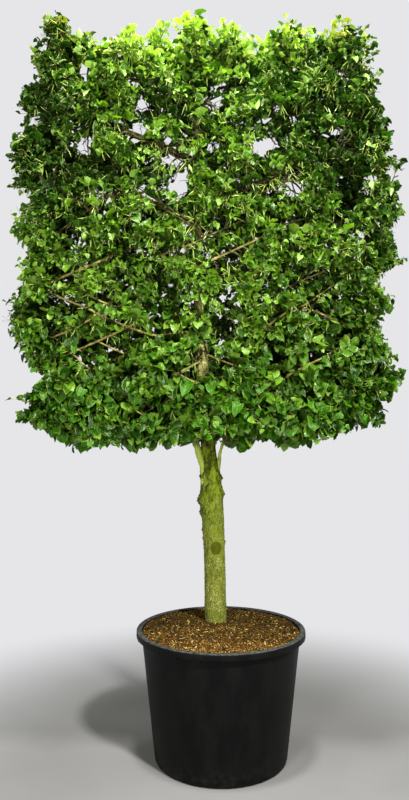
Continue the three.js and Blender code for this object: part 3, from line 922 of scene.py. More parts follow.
def make_chips(rng):
    """Loose chips strewn and bedded on the mix: long flat lumps, their corners astray. Near the
    front edge more of them are bright, painted light, and further back fewer, painted shade."""
    count = CHIPS["count"]
    radius = (MIX_EDGE - CHIPS["off_wall"]) * np.sqrt(rng.uniform(0, 1, count))
    centre = around(radius, rng.uniform(0, 2 * np.pi, count), 0.0)
    x, y = centre[:, 0], centre[:, 1]
    centre[:, 2] = soil_height(x, y) + rng.uniform(-0.001, 0.004, count)
    clear = np.hypot(x - STEM_X, y - STEM_Y) > CHIPS["off_stem"]
    length = rng.lognormal(np.log(CHIPS["length"]), CHIPS["spread"], count)
    half = np.stack([length, length * rng.uniform(0.18, 0.36, count), length * 0.20], axis=-1)
    forward = unit(rng.normal(size=(count, 3)) * [1, 1, 0.35])
    normal = unit(np.cross(forward, np.cross(rng.normal(size=(count, 3)) * 0.4 + UP, forward)))
    shape = LUMP * rng.uniform(0.6, 1.15, (count, 6, 1)) + rng.uniform(-0.3, 0.3, (count, 6, 3))
    axes = np.stack([forward, np.cross(normal, forward), normal], axis=1)
    chips = centre[:, None] + np.einsum("nvk,nkj->nvj", shape * half[:, None], axes)
    bright = 3  # the first three tints are the bright ones
    pick = rng.choice(len(CHIP_TINTS), count, p=[share for share, _, _ in CHIP_TINTS.values()])
    lot = rng.uniform(0, 1, count)
    again = rng.integers(0, bright, count)
    # painted light and shade: bright tints made commoner near the front and rarer at the back
    pick = np.where((y < -0.55 * MIX_EDGE) & (lot < 0.55) & (pick >= bright), again, pick)
    pick = np.where((y > -0.1 * MIX_EDGE) & (lot < 0.5) & (pick < bright), bright, pick)
    for i, (name, (_, light, shade)) in enumerate(CHIP_TINTS.items()):
        points, faces = many(chips[clear & (pick == i)], [LUMP_FACES])
        finish = mix_finish("chip_" + name, light, shade, (40, 28, 16))
        piece("chips_" + name, points, faces, finish, smooth=False)


# ---------------------------------------------------------------- stem and limbs
def across_skin(angle, degrees):
    """How far angles lie from one in degrees, measured round the stem's skin."""
    return (np.mod(angle - np.radians(degrees) + np.pi, 2 * np.pi) - np.pi) * BOLE["knobs_at"]


def make_stem():
    """The stem's skin over angle and height: the frame's radius at each height, with faint upright
    wrinkles, fine cork, the swellings as bell curves and the round scar's rolled lip, drawn in
    towards the foot by a falling exponential and flared a little by a shorter one."""
    fork, columns = BOLE["fork"], BOLE["columns"]
    low = np.linspace(STEM_FOOT - BOLE["sunk"], fork, BOLE["rows_low"])
    z = np.concatenate([low, np.linspace(fork, STEM_TOP, BOLE["rows_high"])[1:]])
    centre, radius = stem_at(z)
    angle, height = np.broadcast_arrays(full_turn(columns), z[:, None])
    r = np.repeat(radius[:, None], columns, axis=1)
    size = np.minimum(r / BOLE["relief_at"], 1)
    skin = around(BOLE["relief_at"], angle, height)
    r = r * (1 + 0.016 * ripple(skin * [1, 1, 0.4], 0.13, 21))
    wrinkle = ripple(skin * [1, 1, 0.25], 0.018, 22)
    r = r + size * 0.0006 * wrinkle
    r = r + size * 0.0007 * ripple(skin * [1, 1, 0.8], 0.010, 23)
    r = r + size * 0.0024 * np.clip(ripple(skin * [1, 1, 1.2], 0.014, 24) - 1.2, 0, 1)
    # painted shade in the deepest wrinkles, carried by the shade mark
    shade = 0.5 * np.clip(-wrinkle - 1.1, 0, 1)
    rough = ripple(skin, 0.014, 25)
    for degrees, level, out, wide, tall in KNOBS:
        across = across_skin(angle, degrees)
        bulge = np.exp(-((across / wide) ** 2) - ((height - level) / tall) ** 2)
        r = r + out * bulge * (1 + 0.25 * rough)
        # the shade mark darkens the bark over the knobs too
        shade = shade + max(out, 0) * 110 * bulge**2 * (0.8 + 0.4 * rough)
    away = np.hypot(across_skin(angle, SCAR["angle"]), (height - SCAR["height"]) / SCAR["taller"])
    away = away / SCAR["radius"]
    r = r + 0.0020 * np.exp(-(((away - 1) / 0.10) ** 2)) - 0.0030 * (1 - smoothstep(away, 0.8, 1))
    rise = z[:, None] - STEM_FOOT
    r = r * (1 - 0.14 * np.exp(-rise / 0.07))
    r = r + 0.002 * np.exp(-rise / 0.022) * (1 + 0.4 * np.sin(3 * angle + 1))
    points = (centre[:, None] + around(r, angle, 0.0)).reshape(-1, 3)
    at, _, walls = rings_of(len(z), columns)
    ends = np.stack([at[0, ::-1], at[-1]])
    bark = bark_finish("bark", *BARKS["bark"], CROWN_BARK_LIGHT_AND_SHADE)
    marks = {"shade": np.clip(shade, 0, 1)}
    piece("trunk_bark", points, [walls, ends], bark, ["trunk"], marks=marks)


def make_scar():
    """The scar's face: a disc of rings that follows the stem's round, a little proud of it."""
    rings, spokes = 7, 28
    share = np.linspace(0, 1, rings + 1)[1:] * SCAR["radius"] * 0.96
    turn = full_turn(spokes)
    uneven = 1 + 0.05 * np.sin(3 * turn + 1) + 0.04 * np.sin(5 * turn)
    side = share[:, None] * uneven * np.cos(turn)
    rise = share[:, None] * uneven * np.sin(turn) * SCAR["taller"]
    side = np.concatenate([side.ravel(), [0]])
    rise = np.concatenate([rise.ravel(), [0]])
    centre, radius = stem_at(SCAR["height"] + rise)
    angle = np.radians(SCAR["angle"]) + side / radius
    crown = 0.0012 * (1 - (np.hypot(side, rise) / SCAR["radius"]) ** 2)
    r = radius + 0.0006 + crown + 0.0005 * ripple(np.stack([side, rise, 0 * side], -1), 0.01, 3)
    at, turned, _ = rings_of(rings, spokes)
    quads = np.stack([at[:-1], at[1:], turned[1:], turned[:-1]], axis=-1).reshape(-1, 4)
    hub = np.stack([np.full(spokes, at.size), at[0], turned[0]], axis=-1)
    moss = bark_finish("scar_moss", *BARKS["scar_moss"])
    piece("trunk_scar", centre + around(r, angle, 0.0), [quads, hub], moss)


def bough_lines(rng):
    """One line for each bough of the frame: from inside the stem, through the middles of the near,
    middle and far parts of its solid, then on in a flattening curve to its tier's edge."""
    knots, radii = [], []
    for name in bough_nodes:
        points = corners_of(name)
        _, side_name, tier = name.split("_")
        side = -1 if side_name == "left" else 1
        outer = mass_boxes[foliage_nodes.index(f"foliage_{side_name}_{tier}_outer")]
        reach = abs(outer[0 if side < 0 else 1, 0])
        share = (points[:, 2] - points[:, 2].min()) / np.ptp(points[:, 2])
        near, middle, far = (
            points[(share >= a) & (share <= b)].mean(axis=0)
            for a, b in ((0, 0.3), (0.3, 0.75), (0.75, 1))
        )
        root = near - unit(far - middle) * 0.03
        radius = np.median(np.linalg.norm(points[share > 0.75] - far, axis=1))
        if name in FORK:
            route, radius = FORK[name]
            root, near, middle, far = (np.array([x, FORK_Y, z]) for x, z in route)
        tip_y = STEM_Y + rng.uniform(-0.1, 0.1)
        tip_z = min(outer[:, 2].mean() + 0.10, crown_top - 0.08)
        tip = np.array([side * (reach - 0.14), tip_y, tip_z])
        on = far + unit(far - middle) * 0.22
        half = (on + tip) / 2 + [0, rng.uniform(-0.05, 0.05), rng.uniform(0.02, 0.07)]
        knots.append([root, near, middle, far, on, half, tip])
        radii.append(radius)
    return smooth_lines(np.array(knots), LIMB["bough_steps"]), np.array(radii)


def shown_lines(stock, rng):
    """Lines of the limbs that show bare: each leaves the nearest limb or the stem, comes forward
    to the crown's face, runs bare between its two places, and tapers off into the foliage."""
    x_in, z_in, x_out, z_out, radii = np.array(SHOWN_LIMBS).T
    count = len(SHOWN_LIMBS)
    plane = SHOWN_PLANE + rng.uniform(-0.03, 0.03, count)
    inner = np.stack([x_in, plane, z_in], axis=-1)
    outer = np.stack([x_out, plane + rng.uniform(-0.03, 0.02, count), z_out], axis=-1)
    run = unit(outer - inner)
    want = inner - 0.16 * run + [0, 0.10, 0]
    root = stock[np.linalg.norm(stock[None] - want[:, None], axis=2).argmin(axis=1)]
    beyond = outer + run * rng.uniform(0.12, 0.24, (count, 1)) + [0, 0.06, 0.02]
    beyond[:, 0] = np.clip(beyond[:, 0], CROWN[0, 0] + 0.16, CROWN[1, 0] - 0.16)
    knots = np.stack([root, (root + inner) / 2 + [0, -0.01, 0], inner, outer, beyond], axis=1)
    return smooth_lines(knots, LIMB["shown_steps"]), radii


def rough_limbs(lines, radii, sides, seed):
    """Limbs with the bark's relief: soft lumps, finer ones, and a swelling here and there."""
    points, faces = sweep(lines, radii, sides)
    ring = points.reshape(*lines.shape[:2], sides, 3)
    out = unit(ring - lines[:, :, None])
    rough = 0.07 * ripple(ring * [0.5, 1, 1], 0.05, seed)
    rough = rough + 0.05 * ripple(ring, 0.018, seed + 1)
    swollen = np.clip(ripple(lines, 0.10, seed + 2) - 1.1, 0, 1)[:, :, None] * 0.25
    ring = ring + out * (radii[:, :, None] * (rough + swollen))[..., None]
    return ring.reshape(-1, 3), faces


def make_boughs(rng):
    """The frame's boughs and the limbs that show bare, which taper along their length. Returns
    the lines of both, and the leader's."""
    boughs, radii = bough_lines(rng)
    radii = radii[:, None] * (1.0 - 0.6 * np.linspace(0, 1, boughs.shape[1]) ** 0.8)
    leader, _ = stem_at(np.linspace(LIMB["leader_from"], STEM_TOP - 0.02, LIMB["leader_steps"]))
    stock = np.concatenate([boughs[:, BEARING].reshape(-1, 3), leader])
    shown, shown_radii = shown_lines(stock, np.random.default_rng(SEED + 2))
    shown_radii = shown_radii[:, None] * (0.90 - 0.45 * np.linspace(0, 1, shown.shape[1]))
    points, faces = rough_limbs(boughs, radii, 12, 31)
    young = bark_finish("bough_bark", *BARKS["bough_bark"])
    piece("boughs_bark", points, faces, young, bough_nodes)
    points, faces = rough_limbs(shown, shown_radii, 10, 41)
    piece("limbs_bark", points, faces, bark_finish("limb_bark", *BARKS["limb_bark"]))
    return boughs, shown, leader


# ---------------------------------------------------------------- growth
def outwards(points):
    """Which way the crown's skin faces near each point: towards the nearest of its clipped faces,
    eased at the edges by raising the place in the crown's block to the fifth power."""
    far_corner = np.array([CROWN[1, 0], CROWN[1, 1], crown_top])
    half = (far_corner - CROWN[0]) / 2
    place = (points - (CROWN[0] + far_corner) / 2) / half
    return unit(np.sign(place) * np.abs(place) ** 5 / half + 1e-6)


def depth_inside(points):
    """How far each point lies under the crown's skin: the least way out to the front or back, or
    to the clipped outline at its level and at its place across."""
    x, y, z = points.T
    levels, left, right = np.array(SIDES)[::-1].T
    across, under, top = np.array(ENDS).T
    ways = [
        y - CROWN[0, 1],
        CROWN[1, 1] - y,
        x - np.interp(z, levels, left),
        np.interp(z, levels, right) - x,
        z - np.interp(x, across, under),
        np.interp(x, across, top) - z,
    ]
    return np.min(ways, axis=0)


def places_in_masses(count, inset, shell, rng):
    """Random places inside the masses of foliage, by their volume: each mass is a block rounded
    by the power law |x|^k + |y|^k + |z|^k < 1. More of them near the crown's skin."""
    size = np.prod(mass_boxes[:, 1] - mass_boxes[:, 0], axis=1)
    tries = 12 * count
    which = rng.choice(len(mass_boxes), tries, p=size / size.sum())
    centre = mass_boxes[which].mean(axis=1)
    half = (mass_boxes[which, 1] - mass_boxes[which, 0]) / 2 + 0.035
    spot = rng.uniform(-1, 1, (tries, 3))
    places = centre + spot * half
    depth = depth_inside(places)
    rounded = (np.abs(spot * [0.9, 1, 0.8]) ** 4.5).sum(axis=1) < 1
    lumps = 0.030 * ripple(places, 0.34, 52) + 0.015 * ripple(places, 0.16, 53)
    under = depth - inset - np.clip(lumps, -0.05, 0.06) - 0.02
    skin = np.exp(-np.maximum(under, 0) / 0.09)
    keep = rounded & (under > 0) & (rng.uniform(0, 1, tries) < shell * skin + 1 - shell)
    return places[keep][:count]


def spread_out(places, count, rng):
    """Drops places one batch at a time where they crowd, until count are left. Their distances
    come from |a - b|^2 = |a|^2 + |b|^2 - 2 a.b."""
    while len(places) > count:
        size = (places**2).sum(axis=1)
        gap = size[:, None] + size[None] - 2 * places @ places.T
        np.fill_diagonal(gap, np.inf)
        crowd = gap.min(axis=1) * rng.uniform(0.65, 1.35, len(places))
        drop = min(len(places) - count, max(20, len(places) // 10))
        places = np.delete(places, np.argsort(crowd)[:drop], axis=0)
    return places


def nearest_stock(targets, stock, growth, lean):
    """For each target the point of the stock that it grows from: the least of its distance, made
    longer by lean where the target lies behind the way the stock grows."""
    best = np.empty(len(targets), dtype=int)
    for chunk in np.array_split(np.arange(len(targets)), max(1, len(targets) // 200)):
        way = targets[chunk, None] - stock[None]
        distance = np.linalg.norm(way, axis=2)
        forward = (way * growth[None]).sum(axis=2) / np.maximum(distance, 1e-6)
        best[chunk] = (distance * (1 + lean * (1 - forward))).argmin(axis=1)
    return best


def grow(targets, stock, growth, rise, count, rng):
    """Limbs from the stock to the targets: cubic curves that leave along the stock's growth and
    arrive heading outwards and up."""
    root = nearest_stock(targets, stock, growth, 0.6)
    start = stock[root]
    reach = np.linalg.norm(targets - start, axis=1, keepdims=True)
    away = unit(growth[root] + 0.5 * unit(targets - start) + 0.15 * rng.normal(size=start.shape))
    arrive = unit(outwards(targets) + rise * UP + 0.35 * rng.normal(size=start.shape))
    first = start + away * reach * 0.35
    second = targets - arrive * reach * 0.35
    return bezier(start, first, second, targets, count)


def grow_all(kind, grown, rng):
    """One kind of growth on what has grown so far, given as tables of points and of the way each
    heads: its lines, which stray more and more along their length, and their radii."""
    stock, growth = (np.concatenate(column) for column in zip(*grown))
    count, steps = kind["count"], kind["steps"]
    tried = places_in_masses(int(kind["tried"] * count), kind["inset"], kind["shell"], rng)
    lines = grow(spread_out(tried, count, rng), stock, growth, kind["rise"], steps, rng)
    stray = kind["stray"] * rng.normal(size=lines.shape)
    radii = np.linspace(*kind["radii"], steps) * rng.uniform(*kind["spread"], (len(lines), 1))
    return lines + stray * np.linspace(0, 1, steps)[:, None], radii


def stock_of(lines, start):
    """The points of lines from a step on, and which way the lines grow there."""
    growth = unit(np.gradient(lines, axis=1))
    return lines[:, start:].reshape(-1, 3), growth[:, start:].reshape(-1, 3)


def in_front_of(points, lines, margin):
    """True where a point hides one of the lines from the viewer: nearer to the eye, and within a
    margin of the line once both are brought to the line's plane through the eye."""
    hidden = np.zeros(len(points), dtype=bool)
    for line in lines:
        plane = line[:, 1].mean()
        scale = (plane - EYE[1]) / (points[:, 1] - EYE[1])
        flat = EYE + (points - EYE) * scale[:, None]
        gap = np.linalg.norm(flat[:, None, ::2] - line[None, :, ::2], axis=2).min(axis=1)
        hidden |= (points[:, 1] < plane + 0.01) & (gap < margin)
    return hidden


def in_openings(points, openings, grown, eye=EYE):
    """True where a point lies in one of the openings, which narrow towards the eye: its place,
    brought to the stem's plane through the eye, is inside a wobbly ellipse."""
    scale = (STEM_Y - eye[1]) / (points[:, 1] - eye[1])
    flat = eye + (points - eye) * scale[:, None]
    inside = np.zeros(len(points), dtype=bool)
    wobble = 1 + 0.22 * ripple(flat, 0.06, 51)
    for x, z, wide, tall in openings:
        near = np.hypot((flat[:, 0] - x) / (wide + grown), (flat[:, 2] - z) / (tall + grown))
        inside |= near < wobble
    return inside


# ---------------------------------------------------------------- leaves
def leaf_blade():
    """A heart-shaped blade, one long: each row has a left edge, the midrib and a right edge, and
    the rows are closed by the stalk's end and the tip. With it come its marks: margin is how near
    the edge a point is, and vein grows along the rib and falls off to both sides."""
    out, edge_along = np.array(BLADE).T
    rows = len(BLADE)
    rib_along = (np.arange(rows) + 0.6) / rows
    across = np.stack([-out, 0 * out, out], axis=1).ravel()
    along = np.stack([edge_along, rib_along, edge_along], axis=1).ravel()
    across = np.concatenate([across, [0, 0]])
    along = np.concatenate([along, [0, 1.0]])
    row = 3 * np.arange(rows - 1)[:, None]
    left = row + [0, 1, 4, 3]
    right = row + [1, 2, 5, 4]
    base, tip, last = 3 * rows, 3 * rows + 1, 3 * (rows - 1)
    quads = np.concatenate([left, right])
    tris = np.array(
        [[base, 1, 0], [base, 2, 1], [last, last + 1, tip], [last + 1, last + 2, tip]]
    )
    margin = np.concatenate([np.tile([1.0, 0.0, 1.0], rows), [0.5, 1.0]])
    return across, along, quads, tris, {"margin": margin, "vein": along - 0.6 * np.abs(across)}


def place_leaves(leaves, rng):
    """Every leaf's corners: the blade scaled to its length, folded up along the rib by a share of
    the distance from it, its edge waved, its tip curled down by the square of the way along, and
    each corner a little astray."""
    across, along, quads, tris, marks = leaf_blade()
    base, forward, normal = leaves["base"], leaves["forward"], leaves["normal"]
    lofty = leaves["lofty"][:, None]
    count = len(base)
    fold = rng.uniform(0.10, 1.05, (count, 1)) * (1 + 0.6 * lofty)
    curl = rng.uniform(-0.15, 1.25, (count, 1)) * (1 - 0.35 * lofty)
    wide = rng.uniform(0.80, 1.06, (count, 1)) * (1 - 0.08 * lofty)
    wave = rng.uniform(0.04, 0.26, (count, 1))
    phase = rng.uniform(0, 2 * np.pi, (count, 1))
    x = across * wide
    y = np.broadcast_to(along, x.shape)
    lift = fold * np.abs(x) - curl * y**2 * 0.6
    lift = lift + wave * np.sin(9 * y + phase) * x * 2
    local = np.stack([x, y * (1 - 0.12 * curl), lift], axis=-1)
    local = (local + 0.025 * rng.normal(size=local.shape)) * leaves["length"][:, None, None]
    axes = np.stack([np.cross(forward, normal), forward, normal], axis=1)
    marks = {mark: np.tile(values, count) for mark, values in marks.items()}
    return base[:, None] + np.einsum("nvk,nkj->nvj", local, axes), [quads, tris], marks


def along_lines(lines, share):
    """Points and directions at shares (line, place) of the way along each line."""
    last = lines.shape[1] - 1
    s = np.clip(share * last, 0, last - 1e-6)
    i = s.astype(int)
    t = (s - i)[..., None]
    row = np.arange(len(lines))[:, None]
    a, b = lines[row, i], lines[row, i + 1]
    return a + (b - a) * t, unit(b - a)


def lay_leaves(sprays, rng):
    """How every leaf lies, by turns on both sides of its spray. Its stalk leans outwards and up
    from a node. Its blade heads on from there, outwards and down by its sag, which low down a
    whole spray shares and high up each leaf has more of its own. Its face is turned up and a
    little out. Each of these ways strays at random. Leaves near a spray's tip are smaller."""
    per = LEAF["per_spray"]
    share = np.linspace(0.12, 1.0, per) + rng.uniform(-0.05, 0.05, (len(sprays), per))
    node, twig = along_lines(sprays, np.clip(share, 0, 1))
    out = outwards(node.reshape(-1, 3)).reshape(node.shape)
    hand = np.where(np.arange(per) % 2, 1.0, -1.0)[:, None]
    hand = hand * rng.choice([-1.0, 1.0], (len(sprays), 1, 1))
    flat = unit(np.cross(twig, UP + 0.5 * out + 0.2 * rng.normal(size=node.shape)))
    stalk_way = hand * flat * 0.9 + 0.45 * twig + 0.35 * out + 0.2 * UP
    stalk_way = unit(stalk_way + 0.25 * rng.normal(size=node.shape))
    stalk = LEAF["stalk"] * rng.uniform(0.6, 1.25, share.shape)
    low = 1 - smoothstep(node[..., 2:], CROWN[0, 2], CROWN[0, 2] + 1.0)
    lofty = smoothstep(node[..., 2:], 2.6, 3.3)
    sag = rng.uniform(-0.15, 0.70, (len(sprays), 1, 1)) * (1 - 0.5 * np.clip(out[..., 2:], 0, 1))
    own_sag = rng.uniform(-0.22, 0.62, node.shape[:2] + (1,))
    sag = sag * (1 - lofty) + lofty * (0.3 * sag + own_sag) + 0.12 * low
    sideways = unit(out * [1, 1, 0.15] + 0.6 * FRONT * np.sign(STEM_Y - node[..., 1:2]))
    out = np.where(out[..., 2:] < 0, sideways, out)
    stray = (0.36 + 0.18 * low) * rng.normal(size=node.shape)
    forward = unit(0.7 * stalk_way + 0.35 * out - sag * UP + stray)
    astray = (0.46 - 0.08 * lofty) * rng.normal(size=node.shape)
    facing = unit((0.12 + 0.30 * low - 0.08 * lofty) * out + 0.95 * UP + astray)
    normal = unit(facing - (facing * forward).sum(axis=-1, keepdims=True) * forward)
    low, lofty = low[..., 0], lofty[..., 0]
    top = smoothstep(node[..., 2], crown_top - 0.34, crown_top - 0.10)
    length = LEAF["length"] * (1 - 0.32 * np.clip(share, 0, 1) ** 2)
    length = length * rng.lognormal(0, LEAF["spread"], share.shape)
    length = length * (0.82 + 0.40 * low + 0.04 * lofty - 0.08 * top)
    length = np.clip(length, LEAF["least"], LEAF["most"] + 0.032 * low - 0.014 * top)
    leaves = {
        "node": node, "base": node + stalk_way * stalk[..., None], "forward": forward,
        "normal": normal, "out": out, "length": length, "lofty": lofty,
    }
    return {key: values.reshape(-1, *values.shape[2:]) for key, values in leaves.items()}


def kept_leaves(leaves, shown, rng):
    """Which leaves stay: none in the windows but a veil over the low ones, nearly none in front of
    the limbs that show or in the hollows, of which the first three are open to the main lamp too,
    and fewer deep inside. The crown's skin is ragged at random and by a ripple, less so along the
    clipped top."""
    reach = leaves["forward"] * leaves["length"][:, None]
    middle, tips = leaves["base"] + reach * 0.5, leaves["base"] + reach
    count = len(tips)
    window = in_openings(middle, WINDOWS, 0.012 + 0.008 * smoothstep(middle[:, 2], 2.9, 3.1))
    keep = ~window | ((middle[:, 2] < 2.9) & by_chance(rng, count, THINNING["veil"]))
    shallow = depth_inside(middle) < THINNING["deep"]
    keep &= shallow | by_chance(rng, count, THINNING["deep_left"])
    hiding = in_front_of(middle, shown[:, BARE], THINNING["by_limb"])
    keep &= ~(hiding & by_chance(rng, count, THINNING["limb_cleared"]))
    hollow = in_openings(middle, HOLLOWS, 0.0) | in_openings(middle, HOLLOWS[:3], 0.01, KEY)
    hollow &= middle[:, 1] < STEM_Y + 0.02
    keep &= ~(hollow & by_chance(rng, count, THINNING["hollow_cleared"]))
    ragged = 0.10 * rng.uniform(0, 1, count) ** 1.5 + 0.045 * ripple(tips, 0.085, 54)
    clipped = smoothstep(tips[:, 2], crown_top - 0.15, crown_top)
    keep &= depth_inside(tips) > -ragged * (1 - 0.65 * clipped)
    return keep & ((tips > REACH[0]) & (tips < REACH[1])).all(axis=1)


def tint_at(spot, rng):
    """A tint drawn for each place, which paints light and shade: lime along the middle of the top,
    partly painted light where the top lamp comes through, olive in the top corners, from fresh to deep
    lower down with the share of deep set as painted shade and painted light by place, and the dark
    shaded tint, painted shade, well inside and high up at the sides and edges."""
    x, z = spot[:, 0], spot[:, 2]
    count = len(spot)
    draw = rng.uniform(0, 1, count)
    top = smoothstep(z, crown_top - 0.44, crown_top - 0.06)
    middle = 1 - smoothstep(np.abs(x + 0.07), 0.38, 0.80)
    low = 1 - smoothstep(z, CROWN[0, 2], CROWN[0, 2] + 0.9)
    high = smoothstep(z, 2.9, 3.4)
    east = smoothstep(x, 0.05, 0.50)
    west = smoothstep(-x, 0.0, 0.2) * (1 - smoothstep(-x, 0.65, 0.95))
    # painted shade: the share of deep leaves, raised high up at the sides, to the right, at both edges
    # and in the upper band, and lowered left of the middle as painted light
    shade = 0.26 + (0.08 + 0.38 * (1 - middle)) * high + (0.12 + 0.28 * high) * east
    shade = shade - west * (0.18 * np.exp(-(((z - 2.45) / 0.4) ** 2)) + 0.10 * high)
    west_edge = smoothstep(-x, 0.80, 1.0)
    east_edge = smoothstep(x, 0.50, 0.75)
    shade = shade + west_edge * (0.18 + 0.20 * high * (1 - top)) + 0.14 * east_edge * (1 - high)
    # painted light: fewer deep leaves in the crown's heart
    heart = np.exp(-(((z - 2.42) / 0.22) ** 2)) * (1 - smoothstep(np.abs(x - 0.05), 0.25, 0.6))
    shade = shade - 0.16 * heart
    shade = shade + high * (1 - top) * (0.05 + 0.16 * smoothstep(x, 0.05, 0.25))
    half = 0.38 + 0.20 * low - 0.22 * high
    tint = np.where(draw < shade, "deep", np.where(draw < shade + half, "mid", "fresh"))
    tint = np.where((tint != "deep") & by_chance(rng, count, 0.65 * low), "green", tint)
    again = rng.uniform(0, 1, count)
    # partly painted light: lime along the middle of the top, where the top lamp comes through
    tint = np.where(again < 0.88 * top * middle, "lime", tint)
    corner = (1 - middle) * smoothstep(z, crown_top - 0.34, crown_top - 0.06)
    tint = np.where((again > 0.2) & (again < 0.2 + 0.75 * corner), "olive", tint)
    # painted shade: the share given the dark shaded tint, deep inside and high up at the sides and
    # edges
    inner = 0.9 * smoothstep(depth_inside(spot), 0.08, 0.18)
    inner = inner + 0.36 * (1 - middle) * high * (1 - 0.7 * top)
    inner = inner + high * (1 - top) * (0.34 * west_edge + 0.22 * east_edge)
    inner = inner * (1 - 0.8 * top * middle) * (1 - 0.30 * (1 - high))
    return np.where(by_chance(rng, count, inner), "shaded", tint)


def leaf_tints(leaves, spray_tips, rng):
    """Each leaf's tint: its spray's or, for some, one of its own. Some that show their underside
    are pale, and high up a few are sunny, a brighter tint that is painted light."""
    node, out, normal, lofty = (leaves[key] for key in ("node", "out", "normal", "lofty"))
    count = len(node)
    tint = np.repeat(tint_at(spray_tips, rng), LEAF["per_spray"])
    own = by_chance(rng, count, LEAF["own_tint"])
    tint = np.where(own, tint_at(node, rng), tint)
    under = ((normal * out).sum(axis=1) < -0.10) & by_chance(rng, count, 0.7 - 0.5 * lofty)
    tint = np.where(under & (tint != "shaded"), "pale", tint)
    # painted light: a brighter sunny tint for a few leaves high up
    sunny = (tint != "shaded") & by_chance(rng, count, 0.13 * lofty)
    return np.where(sunny, "sunny", tint)


# ---------------------------------------------------------------- making
def make_leaves(leaves, keep, tint, rng):
    """The blades, in one lot for each tint and two for the shaded ones, whose dark tint is painted
    shade, before and behind the stem. The lot of the middle tint stands for the masses of foliage."""
    lots = {name: tint == name for name in TINTS if name != "shaded"}
    front = leaves["node"][:, 1] < STEM_Y
    lots["shaded_front"] = (tint == "shaded") & front
    lots["shaded_back"] = (tint == "shaded") & ~front
    finishes = {name: leaf_finish("leaf_" + name, *look) for name, look in TINTS.items()}
    for name, lot in lots.items():
        mine = {key: values[keep & lot] for key, values in leaves.items()}
        corners, faces, marks = place_leaves(mine, rng)
        points, faces = many(corners, faces)
        finish = finishes[name.split("_")[0]]
        stands_for = foliage_nodes if name == "mid" else ()
        piece("leaves_" + name, points, faces, finish, stands_for, marks=marks)


def make_stalks(leaves, keep):
    """The stalks of the leaves near the crown's skin."""
    seen = keep & (depth_inside(leaves["base"]) < 0.06)
    lines = np.stack([leaves["node"][seen], leaves["base"][seen]], axis=1)
    points, faces = sweep(lines, np.array(LEAF["stalk_radii"]), 3)
    green = wood_finish("leaf_stalks", (168, 180, 76), (134, 152, 52))
    piece("leaf_stalks", points, faces, green)


def make_twigs(shoots, shoot_radii, sprays, spray_radii):
    """The shoots, and the sprays' twigs with every second step left out, where none of them
    ends in a window or passes the crown's skin."""
    wood = wood_finish("twig_bark", (88, 90, 32), (44, 50, 14))
    points, faces = sweep(shoots, shoot_radii, 5)
    piece("shoots", points, faces, wood)
    depth = depth_inside(sprays.reshape(-1, 3)).reshape(len(sprays), -1).min(axis=1)
    clear = ~in_openings(sprays[:, -1], WINDOWS, 0.0) & (depth > -0.01)
    points, faces = sweep(sprays[clear, ::2], spray_radii[clear, ::2], 3)
    piece("twigs", points, faces, wood)


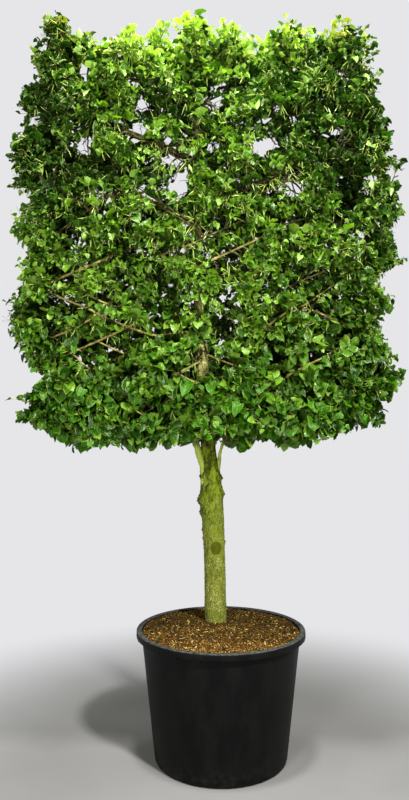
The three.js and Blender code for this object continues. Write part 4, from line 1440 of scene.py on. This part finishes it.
def make_bracts(sprays, rng):
    """Bunches of pale straps hung from the sprays, most of them at one level: each strap is
    widest at its middle by a sine, and bowed by the square of the way along."""
    tip = sprays[:, -1]
    liking = np.exp(-(((tip[:, 2] - BRACTS["level"]) / 0.55) ** 2)) + 0.06
    liking = liking * np.exp(-depth_inside(tip) / 0.08)
    picked = rng.choice(len(sprays), BRACTS["bunches"], replace=False, p=liking / liking.sum())
    share = rng.uniform(0.45, 1.0, (len(picked), BRACTS["per_bunch"]))
    hung = along_lines(sprays[picked], share)[0].reshape(-1, 3)
    count = len(hung)
    out = outwards(hung)
    drop = unit(-0.8 * UP + 0.35 * out + 0.60 * rng.normal(size=(count, 3)))
    side = unit(np.cross(drop, unit(out + 0.5 * rng.normal(size=(count, 3)))))
    face = np.cross(side, drop)
    length = BRACTS["length"] * rng.uniform(0.7, 1.25, count)
    t = np.linspace(0, 1, 6)[1:-1]
    wide = BRACTS["width"] / 2 * np.sin(np.pi * t) ** 0.6
    across = np.concatenate([np.stack([-wide, wide], axis=1).ravel(), [0, 0]])
    down = np.concatenate([np.repeat(t, 2), [0, 1]])
    bow = rng.uniform(-0.9, 0.9, (count, 1)) * down**2
    begin = hung + drop * BRACTS["stalk"]
    points = begin[:, None] + side[:, None] * across[:, None]
    points = points + drop[:, None] * (down * length[:, None])[..., None]
    points = points + face[:, None] * (bow * length[:, None])[..., None]
    keep = ~in_openings(points.mean(axis=1), WINDOWS, 0.015)
    keep &= depth_inside(points[:, -1]) > -0.03
    keep &= ((points > REACH[0]) & (points < REACH[1])).all(axis=(1, 2))
    quads = 2 * np.arange(3)[:, None] + [0, 1, 3, 2]
    ends = np.array([[8, 1, 0], [6, 7, 9]])
    corners, faces = many(points[keep], [quads, ends])
    piece("bracts", corners, faces, leaf_finish("bract", *BRACT_TINT, veined=False))
    keep &= by_chance(rng, count, BRACTS["with_buds"])
    make_buds((begin + drop * length[:, None] * 0.45)[keep], drop[keep], rng)


def make_buds(root, drop, rng):
    """Thin stems from the middle of some straps, each forked to round buds."""
    forks = BRACTS["forks"]
    swing = rng.normal(size=(len(root), forks, 3)) * 0.45
    reach = rng.uniform(0.02, 0.036, (len(root), forks, 1))
    end = (root[:, None] + unit(drop[:, None] + swing) * reach).reshape(-1, 3)
    lines = np.stack([np.repeat(root, forks, axis=0), end], axis=1)
    points, faces = sweep(lines, BRACTS["stem_radius"], 3)
    green = wood_finish("bud_stems", (168, 184, 88), (144, 164, 70))
    piece("bud_stems", points, faces, green)
    shape = end[:, None] + LUMP * rng.uniform(*BRACTS["bud"], (len(end), 1, 1))
    points, faces = many(shape, [LUMP_FACES])
    piece("flower_buds", points, faces, green)


def make_crown(rng):
    """The stem, its limbs, and all that grows on them."""
    make_stem()
    make_scar()
    boughs, shown, leader = make_boughs(rng)
    leader_growth = np.broadcast_to(UP, leader.shape)
    grown = [stock_of(boughs, BARE_STEPS["bough"]), stock_of(shown, BARE_STEPS["shown"])]
    grown.append((leader, leader_growth))
    shoots, shoot_radii = grow_all(SHOOT, grown, rng)
    grown.append(stock_of(shoots, BARE_STEPS["shoot"]))
    sprays, spray_radii = grow_all(SPRAY, grown, rng)
    leaves = lay_leaves(sprays, rng)
    keep = kept_leaves(leaves, shown, rng)
    tint = leaf_tints(leaves, sprays[:, -1], rng)
    make_leaves(leaves, keep, tint, rng)
    make_stalks(leaves, keep)
    make_twigs(shoots, shoot_radii, sprays, spray_radii)
    make_bracts(sprays, rng)


def main():
    """The whole part."""
    stage()
    make_pot()
    make_soil()
    make_chips(np.random.default_rng(SEED + 1))
    make_crown(np.random.default_rng(SEED))


main()
